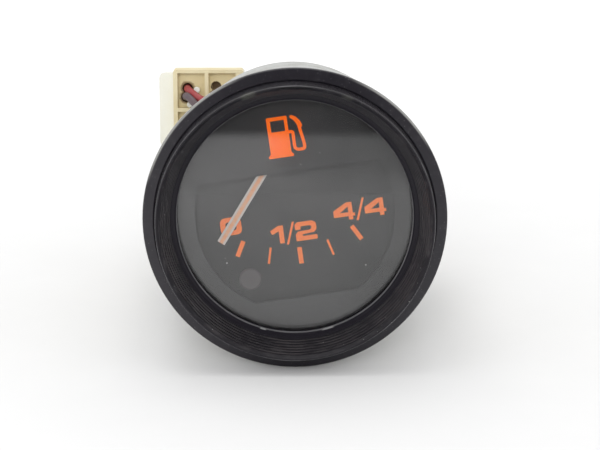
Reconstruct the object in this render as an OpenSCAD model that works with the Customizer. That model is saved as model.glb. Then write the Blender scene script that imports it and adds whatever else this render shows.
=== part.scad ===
// Panel fuel gauge of the 52 mm size: ribbed bezel, recessed dial, two-coil movement,
// drawn metal case with a strap clamp, and a short two-wire lead to a multiway connector.
// Millimetres. +Z is the dial's up, the dial faces -Y, and +X is to the right from the front.
// The origin is on the gauge's axis, in the plane where the bezel seats on the panel.

/* [Bezel and glass] */
// Outside radius of the bezel ring
bezel_r = 30; // [29.5:0.5:31]
// How far the bezel's mouth stands in front of the panel
bezel_h = 2.5; // [2.4:0.1:2.8]
// How far the bezel's outer edge stands in front of the panel
rim_h = 1.4; // [1.3:0.1:1.6]
// Radius of the bezel's mouth
mouth_r = 27.7; // [27.6:0.1:27.9]
// Thickness of the bezel's sheet metal
bezel_sheet = 0.5; // [0.4:0.05:0.5]
// Outer radius of the funnel's lip
lip_r = 27.2; // [27:0.1:27.3]
// How far the funnel's lip stands in front of the bezel
lip_h = 4.2; // [3:0.2:5]
// Number of fine ribs on the funnel
rib_count = 6; // [4:1:9]
// Depth of the groove between two ribs
rib_groove = 0.18; // [0.08:0.02:0.24]
// Radius of the throat, which frames the dial
throat_r = 23.4; // [23.2:0.05:23.8]
// Thickness of the front glass
glass_t = 1; // [0.8:0.1:1.1]

/* [Case] */
// Outside radius of the case, made for a 52 mm panel hole
case_r = 26; // [25.9:0.05:26.1]
// Depth of the case behind the panel
case_depth = 50; // [48:1:54]
// Thickness of the case's sheet metal
case_wall = 0.6; // [0.5:0.05:0.65]
// Radius of the case's rear edge
case_corner = 2; // [1.5:0.25:3]

/* [Dial and needle] */
// Depth of the dial mask's front face behind the panel plane
mask_y = 4.2; // [4.1:0.05:4.4]
// Depth of the scale plate's front face behind the panel plane
scale_y = 6.7; // [6.6:0.05:6.9]
// Radius of the two arcs at the sides of the dial window
window_r = 20; // [19:0.25:21]
// Height of the dial window's upper edge above the axis
window_top = 8.8; // [8:0.1:9.4]
// Height of the dial window's lower edge above the axis
window_bottom = -17.3; // [-18:0.1:-16.5]
// Height of the needle's pivot above the axis
pivot_z = 15.2; // [15:0.1:15.6]
// Length of the needle from its pivot to its tip
needle_len = 24.6; // [23:0.2:25]
// Width of the needle
needle_w = 1.65; // [1.2:0.05:2]
// Angle of the resting needle, from straight down, negative towards zero
needle_rest = -39.2; // [-40:0.2:-38]
// Full swing of the needle, from its low stop to its high stop
needle_swing = 75.8; // [70:0.2:78]
// Sideways place of the low-fuel lamp
lamp_x = -10.9; // [-11.5:0.1:-10]
// Height of the low-fuel lamp
lamp_z = -12.4; // [-13:0.1:-12]
// Radius of the low-fuel lamp's window
lamp_r = 2.3; // [2:0.1:2.6]

/* [Movement] */
// Angle of each coil's axis from straight down
coil_angle = 45; // [42:1:48]
// Radius of the coil bobbins' flanges
coil_r = 5.2; // [4.6:0.1:5.3]
// Length of a coil bobbin
coil_len = 11; // [9:0.5:11]
// Radius of the needle's spindle
spindle_r = 0.6; // [0.5:0.05:0.7]
// Running clearance between the spindle and its bearings
bearing_gap = 0.03; // [0.02:0.01:0.08]

/* [Clamp] */
// Thickness of the panel that the clamp is set to
panel_t = 2.5; // [2.5:0.5:4]
// Radius of the clamp's threaded stud
stud_r = 2.5; // [2.5:0.5:2.5]
// Width of the clamp strap
strap_w = 9.5; // [9:0.5:9.5]
// Thickness of the clamp strap
strap_t = 1.2; // [1:0.1:1.5]
// Outside radius of the knurled nut
nut_r = 6; // [5.5:0.25:6]

/* [Connector] */
// Angle between the dial's up and the upright connector and clamp
back_turn = 8.3; // [0:0.1:10]
// Radius of each lead over its insulation
lead_r = 0.85; // [0.75:0.05:0.85]
// Width of one cell of the plug housing, with its wall
cell_w = 7.2; // [7:0.1:7.2]
// Height of one cell of the plug housing, with its wall
cell_h = 9; // [8.8:0.1:9]
// Thickness of the walls between the cells
cell_wall = 0.9; // [0.7:0.1:1]

/* [Hidden] */
$fn = 64;

// Front stack: the can's flange, the funnel's flange and the crimped lip of the bezel
flange_back = -0.5;
flange_front = flange_back - case_wall;
flange_r = bezel_r - 0.8;
flange_bend = [case_r + 0.5, 0];
seat_gap = 0.05;
hole_gap = 0.05;
can_r = case_r - case_wall;
stack_r = can_r - 0.1;
bezel_slope = (bezel_h - rim_h) / (bezel_r - mouth_r);
bezel_skin = bezel_sheet * norm([1, bezel_slope]);
lip_y = -bezel_h - lip_h;
rib_top = [lip_r - 0.9, lip_y + 0.8];
rib_foot = [throat_r + 1.3, -0.25];
funnel_end = 0.2;
glass_y = mask_y - 0.4 - glass_t;
mask_t = 0.5;
scale_t = 0.5;

// Needle and movement depths
needle_y = 5.4;
needle_t = 0.35;
hub_back = 6.4;
frame_y = 9.5;
frame_t = 1.2;
frame_back = 26;
weight_y = 11;
weight_t = 1.4;
weight_r = 1.8;
weight_arm = 6.4;
weight_angle = 100;
bush_r = 2.4;
stop_arm = 4;
stop_r = 0.6;
arm_w = 1.2;
stop_turn = asin((stop_r + arm_w / 2 + 0.05) / stop_arm);
coil_y = 18;
coil_near = 6;
core_r = 1.6;
tab_t = 1.2;
bridge_x = 9.6;
pillar_x = 19;
pillar_z = 2;
scale_screw = [9, 12.5];

// Rear of the case, in the upright frame of the clamp and the connector
rear = case_depth;
rear_inner = case_depth - case_wall;
holder_r = 5;
light_spot = [11, -13.5];
strap_v = [-7.2, strap_w - 7.2];
stud_v = (strap_v[0] + strap_v[1]) / 2;
strap_y = rear + 3.8;
strap_reach = 27.7;
stud_end = rear + 20;
terminal_spots = [[3, 14.5], [3, 8], [14, 12]];
wired_terminals = [0, 1];
blade_w = 6.3;
blade_t = 0.8;
blade_v = -2.6;
blade_len = 8.8;
insulator_t = 1.2;
insulator_r = 2.2;
terminal_bore = 1.2;
screw_r = 1.5;
blade_y = rear + insulator_t;
barrel_y = rear + 5.8;
barrel_end = -8.5;

// Connector: the plug's rear block, its nose in the shell, and the plate that holds the shell
plug_y = rear + 11.2;
nose_y = plug_y + 4.8;
nose_end = nose_y + 10;
plug_left = -27.6;
plug_top = 22.7;
plug_wall = 0.8;
columns = 2;
rows = 2;
side_wall = [1, 1.75];
cell_left = plug_left + side_wall[0];
plug_right = cell_left + columns * cell_w - cell_wall + side_wall[1];
plug_bottom = plug_top - 2 * plug_wall - rows * cell_h + cell_wall;
nose = [plug_left + 1.05, plug_bottom + 2.2, plug_right - 1.05, plug_top - 3.1];
shell_y = nose_y;
flange_t = 1.6;
shell_end = shell_y + 15.7;
holder_y = shell_y + flange_t;
holder_t = 1;
pocket_d = 1.5;
wire_holes = [[-0.9, 0.4], [-1.2, -1.65]];
spare_holes = [[-1.45, 0.8], [-1.75, -1.25]];
hole_r = 1.2;
cell_one = [cell_left + (cell_w - cell_wall) / 2,
            plug_top - plug_wall - (cell_h - cell_wall) / 2];
crimp_size = [1.8, 1.5];
crimp_gap = 0.1;
web_u = [-22, -10];
foot_rivets = [[-19, 6.3], [-13, 6.3]];
rivet_r = 1.25;

// Routes of the two leads, as sideways, depth and height in the upright frame
red_route = [
    [-24.35, 66, 18.25], [-24.35, 64, 18.25], [-24.35, 62.5, 18.3], [-24.15, 60.6, 18.6],
    [-23.5, 58.8, 18.4], [-22.6, 57.4, 17.8], [-21.4, 56.4, 16.9], [-20, 55.9, 16.1],
    [-18, 55.8, 15.6], [-15.5, 55.8, 15.2], [-13, 55.8, 14.9], [-11, 55.8, 14.7],
    [-9.5, 55.8, 14.5], [-8, 55.8, 14.5], [-6.7, 55.8, 14.5], [-5.5, 55.8, 14.5]
];
black_route = [
    [-24.65, 66, 16.2], [-24.65, 64, 16.2], [-24.65, 62.5, 16.2], [-24.6, 61.1, 16.6],
    [-24.3, 59.9, 16.7], [-23.5, 58.8, 16.2], [-22.6, 57.7, 15.3], [-21.6, 56.8, 14.3],
    [-20.4, 56.2, 13.2], [-18.6, 55.8, 11.9], [-16, 55.8, 10.4], [-13.6, 55.8, 9.2],
    [-11.4, 55.8, 8.4], [-9.2, 55.8, 8], [-7.2, 55.8, 8], [-5.5, 55.8, 8]
];

// A solid turned about the gauge's axis, from points of radius and depth
module turned(points) {
    rotate([-90, 0, 0]) rotate_extrude($fn = 144) polygon(points);
}

// A round bar along the depth, between two depths
module bar(from, to, r, x = 0, z = 0) {
    translate([x, from, z]) rotate([-90, 0, 0]) cylinder(h = to - from, r = r);
}

// A flat outline, drawn as seen from the front, between two depths
module plate(from, to) {
    translate([0, to, 0]) rotate([90, 0, 0]) linear_extrude(to - from) children();
}

// An outline of sideways and depth, extruded upwards between two heights
module standing(low, high) {
    translate([0, 0, low]) linear_extrude(high - low) children();
}

// A small turned piece at a place of its own, from points of radius and depth
module turned_at(x, z, points) {
    translate([x, 0, z]) rotate([-90, 0, 0]) rotate_extrude($fn = 48) polygon(points);
}

// The frame of what stands upright behind the turned dial
module upright() {
    rotate([0, back_turn, 0]) children();
}

// A block between two corners
module block(low, high) {
    translate(low) cube(high - low);
}

// Points of an arc about a centre, from one angle to another
function arc(centre, r, from, to, steps = 6) =
    [for (i = [0:steps]) let (a = from + (to - from) * i / steps)
        centre + r * [cos(a), sin(a)]];

// Corners of a rectangle with rounded corners
function soft_box(low, high, r) = concat(
    arc([high[0] - r, high[1] - r], r, 0, 90, 5),
    arc([low[0] + r, high[1] - r], r, 90, 180, 5),
    arc([low[0] + r, low[1] + r], r, 180, 270, 5),
    arc([high[0] - r, low[1] + r], r, 270, 360, 5)
);

// A direction on the dial, from its angle to straight down, positive to the right
function dial_way(angle) = [sin(angle), -cos(angle)];

// The folded bezel: crimped lip at the back, short outer side and a low cone up to the mouth
module bezel_ring() {
    rim_round = 0.5;
    turn = 90 - atan(bezel_slope);
    centre = [bezel_r - rim_round, rim_round * tan(turn / 2) - rim_h];
    inner_r = bezel_r - bezel_sheet;
    mouth_edge = 0.2;
    color("#1c1c1f")
    turned(concat(
        [[case_r + 0.9, 0]],
        arc([bezel_r - 0.4, -0.4], 0.4, 90, 0, 3),
        arc(centre, rim_round, 0, -turn, 6),
        [[mouth_r + mouth_edge, mouth_edge * bezel_slope - bezel_h],
         [mouth_r, mouth_edge - bezel_h], [mouth_r, bezel_skin - bezel_h],
         [inner_r, bezel_skin + bezel_slope * (inner_r - mouth_r) - bezel_h],
         [inner_r, flange_back], [case_r + 0.9, flange_back]]
    ));
}

// One fine rib of the funnel's cone: a ridge and the groove after it
function rib(i) =
    let (step = (rib_foot - rib_top) / rib_count,
         out = [step[1], -step[0]] / norm(step),
         start = rib_top + i * step)
    [start, start + 0.45 * step, start + 0.6 * step + rib_groove * out,
     start + 0.85 * step + rib_groove * out];

// The moulded funnel: a tall lip that stands out of the bezel's mouth, a ribbed cone, and a
// flange that the bezel clamps on the can
module ribbed_funnel() {
    edge = 0.2;
    under_bezel = bezel_skin - bezel_h + seat_gap;
    color("#141416")
    turned(concat(
        [[rib_foot[0] - 0.05, funnel_end], rib_foot],
        [for (i = [rib_count - 1:-1:0]) for (k = [3:-1:0]) rib(i)[k]],
        arc([lip_r - edge, lip_y + edge], edge, 225, 355, 5),
        [[mouth_r - 0.1, -bezel_h], [mouth_r - 0.1, under_bezel],
         [flange_r - 0.8, under_bezel + bezel_slope * (flange_r - 0.8 - mouth_r)],
         [flange_r - 0.8, flange_front - seat_gap]],
        arc(flange_bend, seat_gap - flange_front, 270, 180),
        [[can_r - seat_gap, funnel_end]]
    ));
}

// Glossy ring between the funnel and the glass, with a wide rounded inner edge
module spacer_ring() {
    ring_round = 1.25;
    color("#0e0e10")
    turned(concat(
        [[throat_r, glass_y]],
        arc([throat_r + ring_round, funnel_end + ring_round], ring_round, 180, 270, 8),
        [[stack_r, funnel_end], [stack_r, glass_y]]
    ));
}

// Flat front glass with eased edges
module glass_lens() {
    color("#b9c4c8", 0.35)
    turned([[0, glass_y], [stack_r - 0.15, glass_y], [stack_r, glass_y + 0.15],
            [stack_r, glass_y + glass_t - 0.15], [stack_r - 0.15, glass_y + glass_t],
            [0, glass_y + glass_t]]);
}

// Rubber seal pressed between the glass and the dial mask
module glass_seal() {
    color("#2a2a2a")
    turned([[throat_r + 0.2, glass_y + glass_t], [stack_r, glass_y + glass_t],
            [stack_r, mask_y], [throat_r + 0.2, mask_y]]);
}

// Outline of the dial window: two side arcs cut by an upper and a lower straight edge
module window_outline() {
    upper = asin(window_top / window_r);
    lower = asin(window_bottom / window_r);
    polygon(concat(
        arc([0, 0], window_r, lower + 1.5, upper, 24),
        arc([0, 0], window_r, 180 - upper, 178.5 - lower, 24)
    ));
}

// Front dial plate, whose window shows the scale and whose upper part hides the pivot
module dial_mask() {
    color("#232426")
    plate(mask_y, mask_y + mask_t)
    difference() {
        circle(r = stack_r, $fn = 144);
        window_outline();
    }
}

// Ring that keeps the mask in front of the scale plate, so that the needle runs between them
module dial_spacer() {
    color("#202124")
    turned([[stack_r - 1.3, mask_y + mask_t], [stack_r, mask_y + mask_t],
            [stack_r, scale_y], [stack_r - 1.3, scale_y]]);
}

// Scale plate with its holes for the spindle, the lamp window and two screws
module scale_plate() {
    color("#26272a")
    plate(scale_y, scale_y + scale_t)
    difference() {
        circle(r = stack_r, $fn = 144);
        translate([0, pivot_z]) circle(r = 1.5);
        translate([lamp_x, lamp_z]) circle(r = lamp_r);
        for (side = [-1, 1]) translate([side * scale_screw[0], scale_screw[1]]) circle(r = 1);
    }
}

// Red lens of the low-fuel lamp, seated from behind with its shoulder on the plate
module warning_lens() {
    color("#8a5b57")
    turned_at(lamp_x, lamp_z, [
        [0, scale_y - 0.1], [lamp_r - 0.3, scale_y - 0.1], [lamp_r, scale_y + 0.1],
        [lamp_r, scale_y + scale_t], [lamp_r + 1, scale_y + scale_t], [lamp_r + 1, scale_y + 1.3],
        [0, scale_y + 1.3]
    ]);
}

// Two cheese-head screws, hidden above the window, that hold the scale plate
module scale_screws() {
    color("#b9bbbd")
    for (side = [-1, 1]) translate([side * scale_screw[0], 0, scale_screw[1]])
    difference() {
        union() {
            bar(scale_y - 0.75, scale_y, 1.6);
            bar(scale_y - 0.1, frame_y + frame_t, 1);
        }
        block([-2, scale_y - 1, -0.2], [2, scale_y - 0.45, 0.2]);
    }
}

// Brass spacers between the scale plate and the movement
module scale_spacers() {
    color("#b08d4a")
    for (side = [-1, 1]) translate([side * scale_screw[0], 0, scale_screw[1]])
    difference() {
        bar(scale_y + scale_t, frame_y, 2);
        bar(scale_y, frame_y + 1, 1);
    }
}

// White ring behind the scale plate, which spreads the lamp's light to the dial's edge
module light_box() {
    front = scale_y + scale_t;
    color("#e9e7df")
    turned([[stack_r - 1, front], [stack_r, front], [stack_r, front + 14],
            [22.3, front + 14], [22.3, front + 13], [stack_r - 1, front + 13]]);
}

// Needle: a flat strip with an eye on the spindle and a square-cut tip
module pointer() {
    color("#f0b890")
    translate([0, 0, pivot_z]) rotate([0, -needle_rest, 0])
    plate(needle_y, needle_y + needle_t)
    difference() {
        union() {
            circle(r = 2.2);
            translate([-needle_w / 2, -needle_len]) square([needle_w, needle_len + 4]);
        }
        circle(r = spindle_r);
    }
}

// Black collar that carries the needle on the spindle
module pointer_hub() {
    color("#1a1a1c")
    turned_at(0, pivot_z, [[spindle_r, needle_y + needle_t], [3, needle_y + needle_t],
                           [2.6, hub_back], [spindle_r, hub_back]]);
}

// Steel spindle with pointed ends
module spindle() {
    color("#c8c9cb")
    turned_at(0, pivot_z, [[0, needle_y - 0.5], [spindle_r, needle_y - 0.2],
                           [spindle_r, frame_back + frame_t - 0.3], [0, frame_back + frame_t]]);
}

// Soft-iron vane between the pole cores
module armature() {
    color("#8f9296")
    translate([0, 0, pivot_z]) rotate([0, -needle_rest, 0])
    plate(coil_y - 4, coil_y + 4)
    difference() {
        intersection() {
            circle(r = 4.4);
            square([9, 3.2], center = true);
        }
        circle(r = spindle_r);
    }
}

// Balance weight on its arm, which brings the needle back to the low stop
module balance_weight() {
    color("#b08d4a")
    translate([0, 0, pivot_z]) rotate([0, -weight_angle, 0])
    plate(weight_y, weight_y + weight_t)
    difference() {
        union() {
            circle(r = 1.5);
            translate([-arm_w / 2, -weight_arm]) square([arm_w, weight_arm]);
            translate([0, -weight_arm]) circle(r = weight_r);
        }
        circle(r = spindle_r);
    }
}

// A coil's own frame: its axis runs from the pivot outwards, and the child is drawn along +X
module along_coil(side) {
    translate([0, coil_y, pivot_z]) rotate([0, 90 - side * coil_angle, 0]) children();
}

// Movement frame: front plate, two tabs for the cores, two arms and the rear bridge
module movement_frame() {
    far = coil_near + coil_len;
    color("#c9cacc")
    difference() {
        union() {
            plate(frame_y, frame_y + frame_t)
                polygon([[-22, -2], [22, -2], [22, 6], [8, 21], [-8, 21], [-22, 6]]);
            for (side = [-1, 1]) {
                along_coil(side) block([far, frame_y - coil_y + 0.6, -4], [far + tab_t, 5, 4]);
                translate([side * bridge_x, 0, 0])
                    block([-frame_t / 2, frame_y + 0.6, 14], [frame_t / 2, frame_back + frame_t, 18]);
            }
            plate(frame_back, frame_back + frame_t) polygon([
                [-bridge_x - frame_t / 2, 14], [-4, 11.5], [4, 11.5], [bridge_x + frame_t / 2, 14],
                [bridge_x + frame_t / 2, 18], [3, 20.5], [-3, 20.5], [-bridge_x - frame_t / 2, 18]
            ]);
        }
        bar(frame_y - 1, frame_back + 2, bush_r + hole_gap, 0, pivot_z);
        for (side = [-1, 1]) {
            bar(frame_y - 1, frame_y + 2, 1, side * scale_screw[0], scale_screw[1]);
            bar(frame_y - 1, frame_y + 2, 1.6, side * pillar_x, pillar_z);
            along_coil(side) rotate([0, 90, 0]) cylinder(h = 25, r = core_r);
        }
    }
}

// A flanged brass bush that carries the spindle in a plate of the movement frame
module bush(front, back, flange_from, flange_to) {
    color("#b08d4a")
    translate([0, 0, pivot_z])
    difference() {
        union() {
            bar(front, back, bush_r);
            bar(flange_from, flange_to, 3.2);
        }
        bar(front - 1, back + 1, spindle_r + bearing_gap);
    }
}

// Front bearing bush
module front_bearing() {
    bush(frame_y - 0.6, frame_y + frame_t, frame_y - 0.6, frame_y);
}

// Rear bearing bush
module rear_bearing() {
    bush(frame_back, frame_back + frame_t + 0.6, frame_back + frame_t, frame_back + frame_t + 0.6);
}

// The needle's low and high stops, on which the balance arm lands
module stop_pins() {
    low = stop_arm * dial_way(weight_angle - stop_turn);
    high = stop_arm * dial_way(weight_angle + needle_swing + stop_turn);
    color("#a9abad")
    for (spot = [low, high])
        bar(frame_y + frame_t, weight_y + weight_t, stop_r, spot[0], pivot_z + spot[1]);
}

// Two bobbins, each a tube with two flanges
module coil_bobbins() {
    color("#7a4b2a")
    for (side = [-1, 1]) along_coil(side) rotate([0, 90, 0])
    difference() {
        union() {
            translate([0, 0, coil_near]) cylinder(h = 1, r = coil_r);
            translate([0, 0, coil_near]) cylinder(h = coil_len, r = 2.4);
            translate([0, 0, coil_near + coil_len - 1]) cylinder(h = 1, r = coil_r);
        }
        cylinder(h = 25, r = core_r);
    }
}

// Copper windings between the bobbins' flanges
module coil_windings() {
    color("#a5562c")
    for (side = [-1, 1]) along_coil(side) rotate([0, 90, 0])
    difference() {
        translate([0, 0, coil_near + 1]) cylinder(h = coil_len - 2, r = coil_r - 0.5);
        cylinder(h = 25, r = 2.4);
    }
}

// Iron cores, each with a pole shoe towards the vane and a riveted end behind its tab
module pole_cores() {
    far = coil_near + coil_len + tab_t;
    color("#9a9da1")
    for (side = [-1, 1]) along_coil(side) rotate([0, 90, 0]) {
        translate([0, 0, coil_near - 1]) cylinder(h = far - coil_near + 1.4, r = core_r);
        translate([0, 0, coil_near - 1]) cylinder(h = 1, r = 2.6);
        translate([0, 0, far]) cylinder(h = 0.8, r = 2.4);
    }
}

// Two hexagonal pillars between the rear wall and the movement
module movement_pillars() {
    color("#c3b27a")
    for (side = [-1, 1]) translate([side * pillar_x, 0, pillar_z])
    difference() {
        union() {
            plate(frame_y + frame_t, rear_inner) circle(r = 2.6, $fn = 6);
            bar(frame_y - 1, frame_y + frame_t + 0.1, 1.6);
        }
        bar(rear_inner - 8, rear_inner + 1, screw_r);
    }
}

// Two screws from outside that hold the movement in the case
module rear_screws() {
    color("#c4c6c8")
    for (side = [-1, 1]) translate([side * pillar_x, 0, pillar_z])
    difference() {
        union() {
            bar(rear_inner - 6, rear + 0.1, screw_r);
            turned_at(0, 0, concat([[0, rear], [2.9, rear]],
                                   arc([1.7, rear + 0.2], 1.2, 30, 90, 4), [[0, rear + 1.4]]));
        }
        block([-0.3, rear + 0.8, -4], [0.3, rear + 2, 4]);
    }
}

// Black tube that leads the low-fuel lamp's light to its lens
module warning_tube() {
    front = scale_y + 1.4;
    color("#17171a")
    translate([lamp_x, 0, lamp_z])
    difference() {
        bar(front, rear_inner - 5, 5.4);
        bar(front + 1, rear_inner, 4.7);
        bar(front - 1, front + 2, lamp_r + 0.2);
    }
}

// A hole through the rear wall, a little larger than what it holds
module wall_hole(spot, r) {
    bar(rear - 3, rear + 1, r + hole_gap, spot[0], spot[1]);
}

// Drawn case with its front flange and the holes of its rear wall
module case_can() {
    inner_corner = case_corner - case_wall;
    corner = [case_r - case_corner, rear - case_corner];
    color("#c7c9c8")
    difference() {
        turned(concat(
            arc(flange_bend, -flange_front, 180, 270),
            [[flange_r, flange_front], [flange_r, flange_back]],
            arc(flange_bend, -flange_back, 270, 180),
            arc(corner, case_corner, 0, 90, 6),
            [[0, rear], [0, rear_inner]],
            arc(corner, inner_corner, 90, 0, 6)
        ));
        for (side = [-1, 1]) wall_hole([side * pillar_x, pillar_z], screw_r);
        wall_hole([lamp_x, lamp_z], holder_r);
        upright() {
            wall_hole(light_spot, holder_r);
            wall_hole([0, stud_v], stud_r);
            for (spot = terminal_spots) wall_hole(spot, insulator_r);
            for (spot = foot_rivets) wall_hole(spot, rivet_r);
        }
    }
}

// Moulded bushes that insulate the three terminals from the rear wall
module terminal_insulators() {
    color("#6b4a30")
    upright() for (spot = terminal_spots) translate([spot[0], 0, spot[1]])
    difference() {
        union() {
            plate(rear, blade_y) polygon(soft_box([-4, -3], [4, 3], 1));
            bar(rear_inner, rear + 0.1, insulator_r);
            bar(rear_inner - 1, rear_inner, 3);
        }
        bar(rear_inner - 2, blade_y + 1, terminal_bore);
    }
}

// Terminal blades, each bent up from a foot that its rivet holds, with a chamfered tip
module terminal_blades() {
    half = blade_w / 2;
    tip = blade_y + blade_len;
    color("#c9b26a")
    upright() for (spot = terminal_spots) translate([spot[0], 0, spot[1]])
    difference() {
        union() {
            block([-half, blade_y, blade_v], [half, blade_y + blade_t, 2.6]);
            standing(blade_v, blade_v + blade_t)
                polygon([[-half, blade_y], [half, blade_y], [half, tip - 1], [half - 1, tip],
                         [1 - half, tip], [-half, tip - 1]]);
        }
        bar(blade_y - 1, blade_y + 2, terminal_bore);
        translate([0, tip - 2.6, blade_v - 1]) cylinder(h = 3, r = 0.8);
    }
}

// Hollow rivets through blades, bushes and wall
module terminal_rivets() {
    head = blade_y + blade_t + 0.35;
    color("#bfa75e")
    upright() for (spot = terminal_spots) translate([spot[0], 0, spot[1]])
    difference() {
        union() {
            bar(rear_inner - 1.7, head, terminal_bore - hole_gap);
            bar(rear_inner - 1.7, rear_inner - 1, 2.2);
            bar(blade_y + blade_t, head, 1.7);
        }
        bar(rear_inner - 2, blade_y + 2, 0.6);
    }
}

// A push-in lamp holder: collar in the wall, flange on it and a finger cap with flats
module lamp_holder(x, z) {
    translate([x, 0, z])
    difference() {
        union() {
            bar(rear_inner - 3, rear + 0.1, holder_r);
            bar(rear, rear + 1.4, 6.2);
            bar(rear + 1.3, rear + 5.5, 5);
            block([-1.1, rear + 1, -5.9], [1.1, rear + 5.5, 5.9]);
        }
        bar(rear_inner - 4, rear_inner + 2, 3.2);
        bar(rear + 4.5, rear + 6, 2.4);
    }
}

// Wedge-base bulb: a pinched base in the holder and a round glass in front of it
module bulb(x, z) {
    back = rear_inner + 2;
    turned_at(x, z, concat([[0, back], [3.1, back], [3.1, back - 5.5]],
                           arc([0, back - 10], 4, 30, -90, 8)));
}

// Holder of the dial's lamp
module illumination_holder() {
    color("#202022") upright() lamp_holder(light_spot[0], light_spot[1]);
}

// Bulb of the dial's lamp
module illumination_bulb() {
    color("#dfe3e4", 0.6) upright() bulb(light_spot[0], light_spot[1]);
}

// Holder of the low-fuel lamp
module warning_holder() {
    color("#202022") lamp_holder(lamp_x, lamp_z);
}

// Bulb of the low-fuel lamp
module warning_bulb() {
    color("#dfe3e4", 0.6) bulb(lamp_x, lamp_z);
}

// Clamp stud with its flange inside the rear wall
module mounting_stud() {
    color("#c8b070")
    upright() turned_at(0, stud_v, [
        [0, rear_inner - 2], [5, rear_inner - 2], [5, rear_inner], [stud_r, rear_inner],
        [stud_r, stud_end - 0.6], [stud_r - 0.6, stud_end], [0, stud_end]
    ]);
}

// Strap clamp: two legs along the case, whose feet press on the panel, joined behind it
module clamp_bracket() {
    outer = strap_reach + strap_t;
    back = strap_y + strap_t;
    color("#c6b982")
    upright()
    difference() {
        standing(strap_v[0], strap_v[1])
        difference() {
            polygon(soft_box([-outer, panel_t - 10], [outer, back], 3));
            polygon(soft_box([-strap_reach, panel_t - 10], [strap_reach, strap_y], 3 - strap_t));
            translate([-40, panel_t - 20]) square([80, 20]);
        }
        bar(strap_y - 1, back + 1, stud_r + 0.2, 0, stud_v);
    }
}

// Spring washer under the nut, split at one place
module spring_washer() {
    front = strap_y + strap_t;
    color("#a4a6a8")
    upright() translate([0, 0, stud_v])
    difference() {
        bar(front, front + 1, 4.4);
        bar(front - 1, front + 2, stud_r + 0.2);
        block([1, front - 1, -0.4], [6, front + 2, 0.4]);
    }
}

// Knurled nut with a plain shoulder and a turned-down end
module knurled_nut() {
    front = strap_y + strap_t + 1;
    teeth = 36;
    color("#c8b070")
    upright() translate([0, 0, stud_v])
    difference() {
        union() {
            bar(front, front + 1, nut_r - 1);
            plate(front + 0.9, front + 5)
                polygon([for (i = [0:2 * teeth - 1]) let (a = i * 180 / teeth)
                    (nut_r - (i % 2) * 0.35) * [cos(a), sin(a)]]);
            bar(front + 4.9, front + 6, nut_r - 2);
        }
        bar(front - 1, front + 7, stud_r + 0.05);
    }
}

// Flag receptacles on the two wired blades: a rolled clip and a crimped barrel to the side
module lead_receptacles() {
    low = blade_y + blade_t + 0.4;
    high = low + 7.4;
    middle = blade_v + blade_t / 2;
    gap = 0.05;
    color("#c9b26a")
    upright() for (i = wired_terminals)
    translate([terminal_spots[i][0], 0, terminal_spots[i][1]])
    difference() {
        union() {
            block([-3.9, low, middle - 0.8], [3.9, high, middle + 0.8]);
            for (side = [-1, 1]) bar(low, high, 1.35, side * 2.9, middle);
            block([-3.9, barrel_y - 1.7, middle - 0.8], [-3, barrel_y + 1.7, 1.2]);
            translate([barrel_end, barrel_y, 0]) rotate([0, 90, 0])
                cylinder(h = -3.4 - barrel_end, r = 1.7);
        }
        block([-blade_w / 2 - gap, low - 1, blade_v - gap],
              [blade_w / 2 + gap, high + 1, blade_v + blade_t + gap]);
    }
}

// Points of a ring about a route's point, square to the way between its neighbours
function ring_at(route, i, r, sides) =
    let (last = len(route) - 1,
         way = route[min(i + 1, last)] - route[max(i - 1, 0)],
         along = way / norm(way),
         side = cross(along, [0.1, 0.2, 1]),
         across = side / norm(side),
         other = cross(along, across))
    [for (k = [0:sides - 1]) let (a = 360 * k / sides)
        route[i] + r * (cos(a) * across + sin(a) * other)];

// An eight-sided tube swept along a route, closed at both ends
module lead_along(route, r, sides = 8) {
    count = len(route);
    points = [for (i = [0:count - 1]) each ring_at(route, i, r, sides)];
    walls = [for (i = [0:count - 2]) for (k = [0:sides - 1])
        let (a = i * sides + k, b = i * sides + (k + 1) % sides)
        each [[a, b, a + sides], [b, b + sides, a + sides]]];
    first = [for (k = [sides - 1:-1:0]) k];
    final = [for (k = [0:sides - 1]) (count - 1) * sides + k];
    polyhedron(points, concat(walls, [first, final]));
}

// Red lead, clipped between its receptacle and the plug
module red_lead() {
    color("#a8242c") upright() lead_along(red_route, lead_r);
}

// Black lead, clipped between its receptacle and the plug
module black_lead() {
    color("#2b2326") upright() lead_along(black_route, lead_r);
}

// Wire side of the plug housing: rear block with a grid of cells, and the nose in the shell
module plug_housing() {
    pocket = [cell_w - cell_wall, cell_h - cell_wall];
    cavity = crimp_size / 2 + [crimp_gap, crimp_gap];
    color("#d9cfa0")
    upright()
    difference() {
        union() {
            plate(plug_y, nose_y)
                polygon(soft_box([plug_left, plug_bottom], [plug_right, plug_top], 0.6));
            block([nose[0], nose_y - 0.1, nose[1]], [nose[2], nose_end, nose[3]]);
        }
        for (i = [0:columns - 1]) for (j = [0:rows - 1])
        translate([cell_one[0] + i * cell_w, 0, cell_one[1] - j * cell_h]) {
            plate(plug_y - 1, plug_y + pocket_d) square(pocket, center = true);
            for (spot = i == 0 ? wire_holes : spare_holes)
                bar(plug_y, nose_y, hole_r, spot[0], spot[1]);
        }
        for (spot = wire_holes) translate([cell_one[0] + spot[0], 0, cell_one[1] + spot[1]])
            block([-cavity[0], nose_y - 0.1, -cavity[1]], [cavity[0], nose_end - 1, cavity[1]]);
    }
}

// Crimp terminals of the two leads, seated in the plug's nose
module crimp_terminals() {
    half = crimp_size / 2;
    color("#c9b26a")
    upright() for (spot = wire_holes)
        translate([cell_one[0] + spot[0], 0, cell_one[1] + spot[1]])
        block([-half[0], nose_y, -half[1]], [half[0], nose_end - 1.2, half[1]]);
}

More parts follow.
